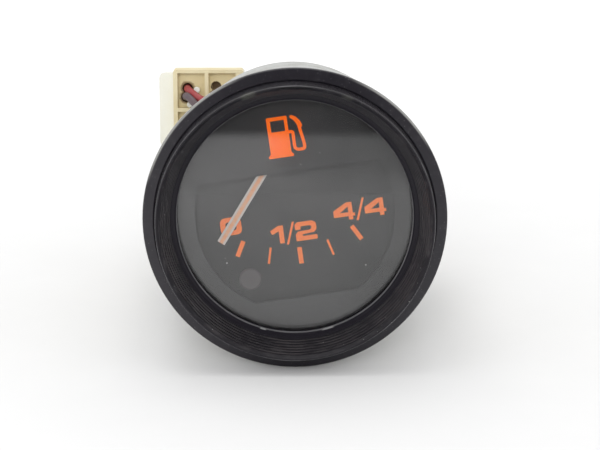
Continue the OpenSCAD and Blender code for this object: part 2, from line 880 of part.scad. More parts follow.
// White receptacle shell: flange against the plate, sleeve round the plug's nose, snap barbs
module socket_shell() {
    low = [nose[0] - 1.15, nose[1] - 1.15];
    high = [nose[2] + 1.15, nose[3] + 1.15];
    middle = (low + high) / 2;
    hollow = 0.15;
    color("#eeeee6")
    upright()
    difference() {
        union() {
            plate(shell_y, holder_y)
                polygon(soft_box([-31.15, plug_bottom - 0.1], [plug_right + 3.5, 21.5], 1.3));
            plate(holder_y - 0.1, shell_end) polygon(soft_box(low, high, 0.8));
            for (side = [-1, 1])
                translate([middle[0] + side * (high[0] - middle[0]), holder_y + holder_t, 0])
                standing(middle[1] - 2, middle[1] + 2)
                    polygon([[-0.7, 0.1], [0.7, 0.1], [0, 3]]);
        }
        block([nose[0] - hollow, shell_y - 1, nose[1] - hollow],
              [nose[2] + hollow, nose_end + 0.4, nose[3] + hollow]);
        for (i = [-1, 1]) for (j = [-1, 1])
            translate([middle[0] + i * cell_w / 2, 0, middle[1] + j * cell_h / 2])
                block([-1.3, shell_end - 4, -1.3], [1.3, shell_end + 1, 1.3]);
    }
}

// Bent plate on the rear wall that holds the shell: riveted foot, web and notched plate
module connector_bracket() {
    shelf = plug_bottom - 1.3;
    notch = [nose[0] - 1.3, nose[1] - 1.3, nose[2] + 1.3];
    color("#b9bcbd")
    upright()
    difference() {
        union() {
            rotate([90, 0, 90]) translate([0, 0, web_u[0]]) linear_extrude(web_u[1] - web_u[0])
            difference() {
                polygon(soft_box([rear, shelf], [holder_y + holder_t, shelf + 30], 1.2));
                polygon(soft_box([rear + 1, shelf + 1], [holder_y, shelf + 29], 0.2));
                translate([rear - 1, 9.5]) square([5, 30]);
                translate([rear + 3, shelf + 4]) square([holder_y + 5 - rear, 30]);
            }
            plate(holder_y, holder_y + holder_t)
                polygon(soft_box([-30.4, shelf + 1.2], [plug_right + 2.8, 20.6], 1.2));
        }
        block([notch[0], holder_y - 1, notch[1]], [notch[2], holder_y + 3, 30]);
        for (spot = foot_rivets) bar(rear - 1, rear + 3, rivet_r + hole_gap, spot[0], spot[1]);
    }
}

// Rivets of the bracket's foot
module bracket_rivets() {
    color("#b0b2b4")
    upright() for (spot = foot_rivets)
        turned_at(spot[0], spot[1], [
            [0, rear_inner - 0.8], [2, rear_inner - 0.8], [2, rear_inner], [rivet_r, rear_inner],
            [rivet_r, rear + 1], [2.1, rear + 1], [1.6, rear + 1.8], [0, rear + 2]
        ]);
}

bezel_ring();
ribbed_funnel();
glass_seal();
glass_lens();
spacer_ring();
dial_mask();
dial_spacer();
scale_plate();
warning_lens();
scale_screws();
scale_spacers();
light_box();
pointer();
pointer_hub();
spindle();
armature();
balance_weight();
movement_frame();
front_bearing();
rear_bearing();
stop_pins();
coil_bobbins();
coil_windings();
pole_cores();
movement_pillars();
rear_screws();
warning_tube();
case_can();
terminal_insulators();
terminal_blades();
terminal_rivets();
illumination_holder();
illumination_bulb();
warning_holder();
warning_bulb();
mounting_stud();
clamp_bracket();
spring_washer();
knurled_nut();
lead_receptacles();
red_lead();
black_lead();
plug_housing();
crimp_terminals();
socket_shell();
connector_bracket();
bracket_rivets();
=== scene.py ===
# %% [markdown]
# # A panel fuel gauge
# This lesson dresses a gauge whose metal and plastic parts come from a CAD model. The model
# is loaded first and is never moved: every finish, print, thread and lead is added around it.
# The gauge's axis lies along Y, the dial faces -Y, and Z is the dial's up. The scene is in
# metres, so sizes that are easier to read in millimetres are multiplied by `MM`.

from math import cos, pi, radians, sin

import bpy
import numpy as np
from mathutils import Matrix, Vector
from mathutils.geometry import tessellate_polygon


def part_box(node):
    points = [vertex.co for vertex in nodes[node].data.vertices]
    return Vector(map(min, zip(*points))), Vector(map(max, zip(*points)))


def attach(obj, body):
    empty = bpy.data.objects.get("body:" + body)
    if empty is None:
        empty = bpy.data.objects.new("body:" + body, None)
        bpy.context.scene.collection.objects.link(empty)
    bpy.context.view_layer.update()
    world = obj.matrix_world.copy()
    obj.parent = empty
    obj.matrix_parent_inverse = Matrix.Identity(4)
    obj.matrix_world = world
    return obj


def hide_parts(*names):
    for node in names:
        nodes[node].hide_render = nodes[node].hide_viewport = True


MM = 0.001
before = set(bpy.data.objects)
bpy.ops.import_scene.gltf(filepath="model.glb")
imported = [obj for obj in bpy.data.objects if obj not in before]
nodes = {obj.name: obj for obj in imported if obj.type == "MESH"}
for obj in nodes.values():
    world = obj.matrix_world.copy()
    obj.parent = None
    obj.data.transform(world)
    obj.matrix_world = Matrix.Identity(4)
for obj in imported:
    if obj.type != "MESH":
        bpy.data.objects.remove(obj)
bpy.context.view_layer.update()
print("loaded", len(nodes), "CAD nodes")

# %% [markdown]
# ## The camera
# The photograph was taken from a little above the gauge, and the gauge had rolled a few
# degrees on its round case. The camera could be turned by hand until the picture fits. Here
# it comes from a fit to the bezel's outline, given in the gauge's own frame: its up is the
# photograph's up, turned by the roll, and it looks at the origin. `upright` turns places that
# are read off the photograph into that frame.

# %% Camera
ROLL = radians(8.3)
ELEVATION = radians(11.6)
AZIMUTH = radians(-0.6)
CAMERA_DISTANCE = 320 * MM
PICTURE_WIDTH, PICTURE_HEIGHT = 600, 450
FOCAL_PIXELS = 1621.6
CENTRE_PIXEL = (295.0, 218.9)
SENSOR_WIDTH = 36

picture_up = Vector((sin(ROLL), 0, cos(ROLL)))
picture_right = Vector((cos(ROLL), 0, -sin(ROLL)))


def upright(places):
    """Places given as sideways, depth and height in the picture's axes, in the gauge's frame:
    sideways * right + depth * axis + height * up."""
    return np.asarray(places, float) @ np.array([picture_right, (0, 1, 0), picture_up])


towards_camera = (
    cos(ELEVATION) * (cos(AZIMUTH) * Vector((0, -1, 0)) + sin(AZIMUTH) * picture_right)
    + sin(ELEVATION) * picture_up
)
camera = bpy.data.objects.new("camera", bpy.data.cameras.new("camera"))
bpy.context.scene.collection.objects.link(camera)
side = picture_up.cross(towards_camera).normalized()
turn = Matrix((side, towards_camera.cross(side), towards_camera)).transposed()
camera.matrix_world = Matrix.Translation(CAMERA_DISTANCE * towards_camera) @ turn.to_4x4()
camera.data.sensor_width = SENSOR_WIDTH
camera.data.lens = FOCAL_PIXELS / PICTURE_WIDTH * SENSOR_WIDTH
camera.data.shift_x = (PICTURE_WIDTH / 2 - CENTRE_PIXEL[0]) / PICTURE_WIDTH
camera.data.shift_y = (CENTRE_PIXEL[1] - PICTURE_HEIGHT / 2) / PICTURE_WIDTH
camera.data.clip_start = 10 * MM
bpy.context.scene.camera = camera
print("camera at", [round(v * 1000, 1) for v in camera.location], "mm")

# %% [markdown]
# ## Shader maths as expressions
# A procedural finish is mostly arithmetic on positions: a distance from the axis, a noise, a
# threshold. Written node by node, that is hard to read. `Value` wraps one socket and gives it
# the usual operators, so an expression adds its own Math nodes. `Finish` is one material, and
# its `node` method adds any other kind of node from its type, settings and inputs.


# %% Value and Finish
class Value:
    """One number or vector that a node gives out, with arithmetic that adds Math nodes."""

    def __init__(self, finish, socket):
        self.finish = finish
        self.socket = socket

    def math(self, operation, *others):
        """The Math node's result for this value and the others, in that order."""
        inputs = dict(enumerate((self, *others)))
        return self.finish.node("ShaderNodeMath", {"operation": operation}, inputs)

    def __add__(self, other):
        return self.math("ADD", other)

    def __sub__(self, other):
        return self.math("SUBTRACT", other)

    def __rsub__(self, other):
        return self.finish.node("ShaderNodeMath", {"operation": "SUBTRACT"}, {0: other, 1: self})

    def __mul__(self, other):
        return self.math("MULTIPLY", other)

    def __truediv__(self, other):
        return self.math("DIVIDE", other)

    __radd__ = __add__
    __rmul__ = __mul__


class Finish:
    """A material, the nodes that make it, and its Principled shader."""

    def __init__(self, name, colour=(0.5, 0.5, 0.5), roughness=0.5, **sockets):
        self.material = bpy.data.materials.new(name)
        self.material.use_nodes = True
        self.tree = self.material.node_tree
        self.shader = self.tree.nodes["Principled BSDF"]
        self.output = self.tree.nodes["Material Output"]
        self.set("Base Color", (*colour, 1))
        self.set("Roughness", roughness)
        for socket, value in sockets.items():
            self.set(socket.replace("_", " "), value)

    def set(self, socket, value):
        """Puts a number, a colour or a Value into one of the Principled shader's sockets."""
        self.plug(self.shader.inputs[socket], value)

    def plug(self, socket, value):
        """Links a Value to a socket, or writes a plain number or colour into it."""
        if isinstance(value, Value):
            self.tree.links.new(value.socket, socket)
        else:
            socket.default_value = value

    def node(self, kind, settings=None, inputs=None, output=0):
        """Adds a node: its settings first, then its inputs. Returns one of its outputs."""
        made = self.tree.nodes.new(kind)
        for name, value in (settings or {}).items():
            setattr(made, name, value)
        for name, value in (inputs or {}).items():
            self.plug(made.inputs[name], value)
        return Value(self, made.outputs[output])

    def place(self):
        """The point on the piece, in the gauge's frame, in millimetres."""
        metres = self.node("ShaderNodeTexCoord", output="Object")
        return self.stretch(metres, (1 / MM,) * 3)

    def stretch(self, vector, by):
        """A vector whose x, y and z are multiplied by three numbers."""
        settings = {"operation": "MULTIPLY"}
        return self.node("ShaderNodeVectorMath", settings, {0: vector, 1: by})

    def parts(self, vector):
        """The x, y and z of a vector."""
        split = self.node("ShaderNodeSeparateXYZ", None, {0: vector})
        return [Value(self, out) for out in split.socket.node.outputs]

    def vector(self, x, y, z):
        """A vector from three numbers."""
        return self.node("ShaderNodeCombineXYZ", None, {0: x, 1: y, 2: z})

    def noise(self, vector, per_mm, detail=3, roughness=0.6):
        """Smooth noise around 0.5, with about `per_mm` lumps in a millimetre."""
        inputs = {"Vector": vector, "Scale": per_mm, "Detail": detail, "Roughness": roughness}
        return self.node("ShaderNodeTexNoise", None, inputs)

    def step(self, value, low, high):
        """0 below low, 1 above high and a smooth rise between them. It falls if low > high."""
        inputs = {0: value, 1: min(low, high), 2: max(low, high), 3: low > high, 4: low <= high}
        return self.node("ShaderNodeMapRange", {"interpolation_type": "SMOOTHSTEP"}, inputs)

    def between(self, value, low, high, soft):
        """1 from low to high, and 0 further out than `soft` beyond either."""
        return self.step(value, low - soft, low) * self.step(value, high + soft, high)

    def mix(self, share, first, second):
        """Two colours mixed by a share from 0 to 1."""
        colours = [c if isinstance(c, Value) else (*c, 1) for c in (first, second)]
        inputs = {0: share, 6: colours[0], 7: colours[1]}
        return self.node("ShaderNodeMix", {"data_type": "RGBA"}, inputs, output=2)

    def over(self, shade, *layers):
        """A shade with other colours laid over it in turn, each by its own share."""
        for share, colour in layers:
            shade = self.mix(share, shade, colour)
        return shade

    def near(self, vector, centre, radius):
        """1 inside a soft round spot about a point."""
        settings = {"operation": "DISTANCE"}
        away = self.node("ShaderNodeVectorMath", settings, {0: vector, 1: tuple(centre)}, output=1)
        return self.step(away, radius, radius * 0.5)

    def dots(self, vector, per_mm, radius, share):
        """1 inside scattered round specks: about `share` of the cells hold one."""
        inputs = {"Vector": vector, "Scale": per_mm}
        cells = self.node("ShaderNodeTexVoronoi", None, inputs).socket.node
        close = Value(self, cells.outputs["Distance"])
        chosen = self.parts(Value(self, cells.outputs["Color"]))[0]
        speck = self.step(close, radius, radius * 0.5)
        return speck * self.step(chosen, 1 - share, 1 - share + 0.01)

    def bump(self, height, distance_mm, strength=1.0):
        """Tilts the surface by a height from 0 to 1 that stands for `distance_mm`."""
        inputs = {"Height": height, "Distance": distance_mm * MM, "Strength": strength}
        self.set("Normal", self.node("ShaderNodeBump", None, inputs))


def dress(finish, *pieces):
    """Puts one finish in the material slot of each of these CAD nodes."""
    for piece in pieces:
        nodes[piece].material_slots[0].material = finish.material
    print(finish.material.name, "has", len(finish.tree.nodes), "nodes")


print("shader helpers ready")

# %% [markdown]
# ## Surfaces from grids
# Every new piece is a surface over a grid of points, worked out as whole arrays: rows of
# points along the piece, columns of points around or across it.


# %% Meshes
def piece_from(name, points, faces):
    """A new object whose mesh has these points, in metres, and these faces."""
    mesh = bpy.data.meshes.new(name)
    mesh.from_pydata(points.tolist(), [], [list(map(int, face)) for face in faces])
    mesh.update()
    made = bpy.data.objects.new(name, mesh)
    bpy.context.scene.collection.objects.link(made)
    print(name, "has", len(faces), "faces")
    return made


def surface(name, points, around=False):
    """A mesh of quads over a grid of points, rows by columns. `around` joins the last column
    to the first one."""
    rows, columns = points.shape[:2]
    index = np.arange(rows * columns).reshape(rows, columns)
    if around:
        index = np.concatenate([index, index[:, :1]], axis=1)
    corners = (index[:-1, :-1], index[:-1, 1:], index[1:, 1:], index[1:, :-1])
    faces = np.stack(corners, axis=-1).reshape(-1, 4)
    return piece_from(name, points.reshape(-1, 3), faces)


print("mesh helpers ready")

# %% [markdown]
# ## Floor, surroundings and light
# The gauge lies on a white sheet, on its bezel's rim and on the rear edge of its case, so the
# sheet slopes a little against the gauge's axis. Away from the gauge the sheet has to come out
# white, while the shadow beside the gauge stays. More light would bleach both, so the sheet
# adds a glow that grows with the distance from the gauge, and that mirrors see less of.
#
# Black glossy things are drawn by what they mirror, so a studio hangs dark cards around them.
# One card here begins in front of the gauge, as bright as the mirrored sheet. Farther away its
# right half turns greyer, which darkens the right of the dial. Then it fades to black and
# rises into a wall and roof that the top of the glass mirrors. Only mirror rays see the card.

# %% Floor
BEZEL_LOW = (-0.8, -30.0)
CASE_LOW = (48.0, -26.0)
FLOOR_REACH = 3000.0
FLOOR_GLOW, MIRRORED_SHARE = 0.31, 0.45
GLOW_START, GLOW_FULL = 55, 420

floor_slope = (CASE_LOW[1] - BEZEL_LOW[1]) / (CASE_LOW[0] - BEZEL_LOW[0])


def studio_sheet(name, sideways, along_axis, above_floor):
    """A surface through every pair of a place sideways and a point of a profile:
    sideways * right + y * axis + (floor height at y + height above it) * up."""
    along_axis = np.asarray(along_axis, float)
    height = BEZEL_LOW[1] + floor_slope * (along_axis - BEZEL_LOW[0]) + np.asarray(above_floor)
    grid = np.broadcast_arrays(np.array(sideways), along_axis[:, None], height[:, None])
    return surface(name, upright(np.stack(grid, axis=-1)) * MM)


def seen_or_mirrored(finish, share):
    """1 for rays that the camera sends, `share` for rays that a surface mirrors or passes."""
    path = finish.node("ShaderNodeLightPath").socket.node.outputs
    kinds = ("Is Camera Ray", "Is Glossy Ray", "Is Transmission Ray")
    seen, mirrored, passed = (Value(finish, path[kind]) for kind in kinds)
    return seen.math("MAXIMUM", mirrored.math("MAXIMUM", passed) * share)


reach = (-FLOOR_REACH, FLOOR_REACH)
floor = studio_sheet("floor", reach, reach, 0)
paper = Finish("white_sheet", roughness=0.9, Specular_IOR_Level=0.0)
place = paper.place()
fibres = paper.noise(place, 0.05, 4)
paper.set("Base Color", paper.mix(fibres, (0.77,) * 3, (0.8,) * 3))
x, y, _ = paper.parts(place)
away = (x * x + y * y).math("SQRT")
glow = paper.mix(paper.step(away, GLOW_START, GLOW_FULL), (0, 0, 0), (1, 1, 1))
paper.set("Emission Color", glow)
paper.set("Emission Strength", seen_or_mirrored(paper, MIRRORED_SHARE) * FLOOR_GLOW)
floor.data.materials.append(paper.material)

# %% Dark card
CARD_EDGES = (-1400.0, 1400.0)
CARD_GREY, CARD_FADE = (-310.0, -440.0), (-577.0, -664.0)
GREY_SIDE, GREY_SHARE = (-22, -3), 0.4
CARD_LIGHT = 1.15

card_y = [CARD_GREY[0], *CARD_FADE, -1300, -1500, -1500, -1100, -200]
card_height = [0.5, 1, 3, 6, 200, 1500, 2100, 2200]
dark_card = studio_sheet("dark_card", CARD_EDGES, card_y, card_height)
card = Finish("dark_card", (0.01, 0.01, 0.01), 1.0, Specular_IOR_Level=0.0)
x, y, _ = card.parts(card.place())
greyed = card.step(y, *CARD_GREY) * card.step(x, *GREY_SIDE) * GREY_SHARE
lit = card.step(y, CARD_FADE[1], CARD_FADE[0])
card.set("Emission Color", card.mix(lit, (0.03,) * 3, card.mix(greyed, (1, 1, 1), (0, 0, 0))))
card.set("Emission Strength", CARD_LIGHT)
dark_card.data.materials.append(card.material)
for ray in ("camera", "diffuse", "transmission", "shadow", "volume_scatter"):
    setattr(dark_card, "visible_" + ray, False)

# %% Sky and lamps
world = bpy.data.worlds.new("studio")
bpy.context.scene.world = world
world.use_nodes = True
background = world.node_tree.nodes["Background"]
background.inputs["Color"].default_value = (1, 1, 1, 1)
background.inputs["Strength"].default_value = 1.0


def soft_box(name, place, size, watts, mirrored=True):
    """A square lamp in millimetres, in the picture's axes, that faces the gauge."""
    lamp = bpy.data.objects.new(name, bpy.data.lights.new(name, "AREA"))
    bpy.context.scene.collection.objects.link(lamp)
    lamp.location = upright(place) * MM
    lamp.rotation_euler = lamp.location.to_track_quat("Z", "Y").to_euler()
    lamp.data.size = size * MM
    lamp.data.energy = watts
    lamp.visible_glossy = mirrored
    print(name, "lamp,", watts, "W")


soft_box("overhead", (-60, 20, 460), 300, 0.45)
soft_box("front", (-70, -700, 270), 420, 2.1, mirrored=False)
bpy.context.scene.view_settings.view_transform = "Standard"

# %% [markdown]
# ## Black enamel of the bezel
# The bezel is sheet metal in a hard black enamel. Close up it is not one black: it holds dust
# in its pores and fine scratches round the ring. Its left is painted greyer, as painted light,
# and its bottom darker, as painted shade. Its outer edge carries a painted highlight, in a thin
# line at the top and more broadly on the upper flanks. Scratches round a turned part need a
# pattern that is long around the axis and short across it. An angle would give it a seam. The
# direction from the axis has none, so it gives the long way, and radius and depth give the
# short one.


# %% Bezel enamel
def polar(finish):
    """Place, distance from the axis, depth along it and height, all in millimetres."""
    place = finish.place()
    x, depth, height = finish.parts(place)
    radius = (x * x + height * height).math("SQRT")
    return place, radius, depth, height


def upright_pair(finish, place):
    """Sideways and upwards in the picture's axes: x cos r - z sin r and x sin r + z cos r."""
    x, _, z = finish.parts(place)
    return x * cos(ROLL) - z * sin(ROLL), x * sin(ROLL) + z * cos(ROLL)


def ring_marks(finish, place, radius, depth, around, across, detail=4):
    """Noise whose marks run round the axis: its vector is the direction from the axis times
    `around`, plus radius and depth times `across`."""
    x, _, z = finish.parts(place)
    short_way = (radius + 0.6 * depth) * across
    vector = finish.vector(x / radius * around, z / radius * around, short_way)
    return finish.noise(vector, 1, detail)


BEZEL_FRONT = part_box("bezel_ring")[0].y / MM
BEZEL_RADIUS, MOUTH_RADIUS = 30.0, 27.7

enamel = Finish("bezel_black", roughness=0.3, Specular_IOR_Level=0.4)
place, radius, depth, height = polar(enamel)
rings = ring_marks(enamel, place, radius, depth, 7, 9)
cloud = enamel.noise(place, 0.35, 4)
dust = enamel.dots(place, 2.1, 0.2, 0.26)
chips = enamel.dots(place, 0.5, 0.12, 0.1)
x, _, z = enamel.parts(place)
wiped = enamel.noise(enamel.vector(x / radius * 26, z / radius * 26, radius * 0.35), 1, 3)
mouth = enamel.step(radius, MOUTH_RADIUS + 0.25, MOUTH_RADIUS + 0.05)
print("bezel front at", round(BEZEL_FRONT, 2), "mm")

# %% Bezel wear, painted light and shade, and colour
aside, above = upright_pair(enamel, place)
# Painted highlight on the outer edge: a thin line at the front corner and a broader band on the
# upper flanks, only towards the top.
corner = enamel.step(depth, BEZEL_FRONT + 0.6, BEZEL_FRONT + 0.35)
thin_line = enamel.step(radius, BEZEL_RADIUS - 0.7, BEZEL_RADIUS - 0.4) * corner * 0.35
on_flank = enamel.step(aside.math("ABSOLUTE"), 9, 17)
flank = enamel.step(radius, BEZEL_RADIUS - 0.55, BEZEL_RADIUS - 0.25) * on_flank
rim_highlight = thin_line.math("MAXIMUM", flank) * enamel.step(above - 0.12 * aside, 10, 16)
shade = enamel.over(
    enamel.mix(cloud, (0.009, 0.0076, 0.0115), (0.0155, 0.0132, 0.0188)),
    (enamel.step(wiped, 0.5, 0.75) * 0.25, (0.045, 0.042, 0.046)),
    # Painted shade: darker towards the bottom.
    (enamel.step(height, -20, -28) * 0.6, (0.005, 0.0042, 0.0075)),
    # Painted light: greyer towards the left.
    (enamel.step(x, 8, -26) * 0.3, (0.03, 0.027, 0.032)),
    (rim_highlight * (0.4 + 0.6 * rings), (0.34, 0.34, 0.325)),
    (mouth * enamel.step(rings, 0.42, 0.62) * 0.3, (0.07, 0.07, 0.075)),
    (dust * 0.5, (0.2, 0.195, 0.2)),
    (chips * 0.5, (0.05, 0.05, 0.055)),
)
enamel.set("Base Color", shade)
enamel.set("Roughness", 0.26 + 0.12 * rings + 0.1 * cloud + 0.2 * dust - 0.16 * rim_highlight)
enamel.bump(rings * 0.5 + cloud * 0.2 - chips, 0.01, 0.5)
dress(enamel, "bezel_ring")

# %% [markdown]
# ## Ribbed funnel and glossy ring
# The funnel is moulded in black plastic. Its lip stands out of the bezel and has been touched
# for years: the edge is worn to an uneven light grey line, with a dark stretch at the top. The
# CAD model has the ribs as real ridges, and brownish dust has settled in the grooves between
# them, most of it low and on both sides. It could be painted by hand, but the place of a
# groove is known, so its share of a rib's pitch, the fraction of depth / pitch, says where the
# dust lies. Three scuffs are soft spots at places read off the photograph.

# %% Funnel
LIP_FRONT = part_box("ribbed_funnel")[0].y / MM
LIP_RADIUS, INNER_WALL = 27.2, 26.9
RIBS_START, RIBS_END, RIB_COUNT = LIP_FRONT + 0.8, -0.25, 6
RIB_PITCH = (RIBS_END - RIBS_START) / RIB_COUNT
DARK_STRETCH = (-3.3, 3.2)

moulded = Finish("funnel_black", roughness=0.4, Specular_IOR_Level=0.3)
place, radius, depth, height = polar(moulded)
rings = ring_marks(moulded, place, radius, depth, 9, 6)
patches = ring_marks(moulded, place, radius, depth, 3.2, 0.3, 5)
grain = moulded.noise(place, 7, 2)
inside = moulded.step(radius, INNER_WALL, INNER_WALL - 0.3)
on_ribs = moulded.between(depth, RIBS_START, RIBS_END, 0.1) * inside
share = ((depth - RIBS_START) / RIB_PITCH).math("FRACT")
groove = moulded.between(share, 0.5, 0.9, 0.08) * on_ribs
low_side = 0.35 + 0.65 * moulded.step(height, 16, -6)
beside = moulded.step(moulded.parts(place)[0].math("ABSOLUTE"), 14, 25)
dusty = groove * low_side * moulded.step(patches, 0.36, 0.6)
film = moulded.step(rings, 0.45, 0.7) * inside * low_side
print("ribs", round(RIB_PITCH, 2), "mm apart")

# %% Wear of the lip
SCUFFS = [
    # Place in the picture's axes, size and strength
    ((-8.9, -6.5, 25.1), 1.9, 0.35),
    ((9.8, -6.5, 24.8), 1.5, 0.25),
    ((26.6, -5.5, -8.6), 0.5, 1.0),
]
edge = moulded.step(depth, LIP_FRONT + 0.34, LIP_FRONT + 0.16)
edge = edge * moulded.step(radius, LIP_RADIUS - 0.2, LIP_RADIUS - 0.07)
worn = edge * (0.25 + 0.75 * moulded.step(patches, 0.46, 0.62)) * (0.5 + 0.5 * rings)
flecks = moulded.dots(place, 1.0, 0.13, 0.2)
shade = moulded.over(
    moulded.mix(grain, (0.0125, 0.0112, 0.014), (0.019, 0.0172, 0.021)),
    # Painted shade: the inside darker towards the top.
    (moulded.step(height, 12, 22) * inside * 0.6, (0.006, 0.005, 0.009)),
    (film * (0.45 + 0.35 * beside), (0.055, 0.05, 0.053)),
    (dusty * (0.7 + 0.25 * beside), (0.075, 0.064, 0.066)),
    (worn * 0.8, (0.14, 0.138, 0.145)),
    (flecks * 0.7, (0.32, 0.32, 0.31)),
)
for scuff, size, strength in SCUFFS:
    touched = moulded.near(place, upright(scuff), size) * moulded.step(patches, 0.3, 0.55)
    shade = moulded.mix(touched * strength, shade, (0.12, 0.122, 0.1))
aside, above = upright_pair(moulded, place)
slot = moulded.between(aside, *DARK_STRETCH, 0.2) * moulded.step(above, 20, 21)
slot = slot * moulded.between(radius, INNER_WALL - 0.45, INNER_WALL, 0.08)
slot = slot * moulded.step(depth, LIP_FRONT + 0.5, LIP_FRONT + 0.3)
moulded.set("Base Color", moulded.mix(slot, shade, (0.003, 0.003, 0.004)))
moulded.set("Roughness", 0.22 + 0.12 * inside + 0.1 * grain + 0.2 * dusty + 0.1 * film)
moulded.bump(grain * 0.4 + rings * 0.6, 0.006, 0.5)
dress(moulded, "ribbed_funnel")

# %% [markdown]
# The ring behind the funnel is smooth black plastic. A strong mirror would show the white
# sheet, so its gloss is low. Its inner edge is painted light, a painted highlight, and two
# painted glints lie on it below.

# %% Glossy ring
RING_EDGE = 23.6
RING_GLINTS = (((6.6, 0.9, -22.6), 1.5), ((-6.4, 0.9, -22.7), 0.8))

polished = Finish("gloss_black", roughness=0.2, Specular_IOR_Level=0.14)
place, radius, depth, _ = polar(polished)
smear = ring_marks(polished, place, radius, depth, 5, 1.5)
# Painted highlight: the inner edge painted light.
edge = polished.step(radius, RING_EDGE, RING_EDGE - 0.15) * polished.step(depth, 1.7, 1.45)
edge = edge * (0.4 + 0.8 * smear)
shade = polished.mix(edge, (0.013, 0.0115, 0.0155), (0.18, 0.178, 0.185))
# Two painted glints on the inner edge below.
for glint, size in RING_GLINTS:
    bright = polished.near(place, upright(glint), size)
    bright = bright * polished.between(radius, RING_EDGE - 0.12, RING_EDGE, 0.08)
    shade = polished.mix(bright * 0.7, shade, (0.32, 0.32, 0.32))
polished.set("Base Color", shade)
polished.set("Roughness", 0.14 + 0.16 * smear)
dress(polished, "spacer_ring")

# %% [markdown]
# ## Front glass
# A full glass shader would keep the lamps from reaching the dial, so the pane is built the
# way a thin pane looks: mostly transparent, and mirroring as any glass does, a few percent
# head on and more at a grazing angle. It carries a thin haze and a few specks.

# %% Glass pane
pane = Finish("clear_glass", (0.8, 0.82, 0.82), 0.02)
clear = pane.node("ShaderNodeBsdfTransparent", None, {"Color": (0.99, 0.99, 0.99, 1)})
mirror = pane.node("ShaderNodeBsdfGlossy", None, {"Roughness": 0.0, "Color": (1, 1, 1, 1)})
glancing = pane.node("ShaderNodeFresnel", None, {"IOR": 1.5})
see = pane.node("ShaderNodeMixShader", None, {0: glancing, 1: clear, 2: mirror})
place = pane.place()
specks = pane.dots(place, 0.4, 0.045, 0.3)
film = pane.noise(place, 0.13, 4)
haze = specks * 0.5 + pane.step(film, 0.3, 0.8) * 0.01
soft = pane.node("ShaderNodeBsdfDiffuse", None, {"Color": (0.8, 0.8, 0.8, 1)})
pane_surface = pane.node("ShaderNodeMixShader", None, {0: haze, 1: see, 2: soft})
pane.plug(pane.output.inputs["Surface"], pane_surface)
dress(pane, "glass_lens")

# %% [markdown]
# ## Dial paint
# Mask and scale plate are sprayed in matt black. The plate lies deeper, in the mask's shade,
# and is painted darker than the mask, as painted shade. Each turns to another tone towards its
# top: painted shade on the mask, painted light on the plate below the window's upper edge. Both
# darken to the sides, as painted shade. Years behind the glass have left soft smudges and motes
# of dust: random ones, and at their own places the few that the photograph shows plainly.


# %% Dial paint
SPECKS = [
    # Place in the gauge's frame, size and tone
    ((4.0, 6.7, -9.7), 0.3, 0.008),
    ((-15.1, 6.7, -8.4), 0.24, 0.45),
    ((12.7, 6.7, -12.9), 0.2, 0.4),
    ((-8.0, 4.2, -20.4), 0.35, 0.01),
    ((2.6, 4.2, 9.9), 0.18, 0.35),
    ((6.7, 4.2, 11.7), 0.16, 0.35),
]


def dial_paint(name, fresh, faded, upper, heights):
    """Matt black with slow smudges, and light and dark motes. The tone turns to `upper`
    between two heights: painted shade on the mask, painted light on the plate. Towards the
    sides it darkens, as painted shade."""
    made = Finish(name, roughness=0.75, Specular_IOR_Level=0.3)
    place = made.place()
    smudge = made.noise(place, 0.11, 4)
    grain = made.noise(place, 9, 2)
    x, _, z = made.parts(place)
    shade = made.over(
        made.mix(made.step(smudge, 0.3, 0.7), fresh, faded),
        (made.step(z, *heights), upper),
        # Painted shade: darker to the right, and a little to the left.
        (made.step(x, 3, 24) * 0.5 + made.step(x, -12, -24) * 0.12, (0.014, 0.0135, 0.0145)),
        (made.dots(place, 0.55, 0.06, 0.16) * 0.5, (0.26, 0.26, 0.25)),
        (made.dots(place, 0.3, 0.06, 0.12) * 0.7, (0.006,) * 3),
        *((made.near(place, spot, size) * 0.8, (tone,) * 3) for spot, size, tone in SPECKS),
    )
    made.set("Base Color", shade)
    made.set("Roughness", 0.66 + 0.14 * grain)
    return made


# The mask's third tone, darker towards its top, is painted shade.
mask_tones = (0.056, 0.055, 0.057), (0.068, 0.067, 0.068), (0.045, 0.044, 0.046)
dress(dial_paint("mask_black", *mask_tones, (11, 19)), "dial_mask")
# The plate is painted darker than the mask, as painted shade, and its third tone, lighter below
# the window's upper edge, is painted light.
plate_tones = (0.033, 0.033, 0.034), (0.041, 0.04, 0.041), (0.072, 0.071, 0.072)
dress(dial_paint("dial_black", *plate_tones, (3, 8.8)), "dial_spacer", "scale_plate")

# %% [markdown]
# ## Printed marks
# Numerals, ticks and the pump sign are screen printed: a flat layer of ink a few hundredths
# of a millimetre thick, with slightly eased corners. A font would not match the numerals, so
# each mark is a closed outline in the dial's plane, in millimetres. Bands of even width, such
# as the ticks and the pump's hose, come from a path; everything else is a loop of corners.


# %% Outlines
def curve_corners(before, corner, after, steps=5):
    """At each corner c, the curve (1-t)^2 a + 2t(1-t) c + t^2 b between points a and b."""
    t = np.linspace(0, 1, steps)[None, :, None]
    a, c, b = (points[:, None] for points in (before, corner, after))
    return ((1 - t) ** 2 * a + 2 * t * (1 - t) * c + t**2 * b).reshape(-1, 2)


def eased(corners, radius):
    """A closed outline with every corner rounded: a and b lie `radius` from the corner, or
    half a side where the side is short."""
    line = np.asarray(corners, float)
    to_next = np.roll(line, -1, axis=0) - line
    length = np.linalg.norm(to_next, axis=1, keepdims=True)
    way = to_next / length
    reach = np.minimum(radius, np.minimum(length, np.roll(length, 1, axis=0)) * 0.45)
    return curve_corners(line - np.roll(way, 1, axis=0) * reach, line, line + way * reach)


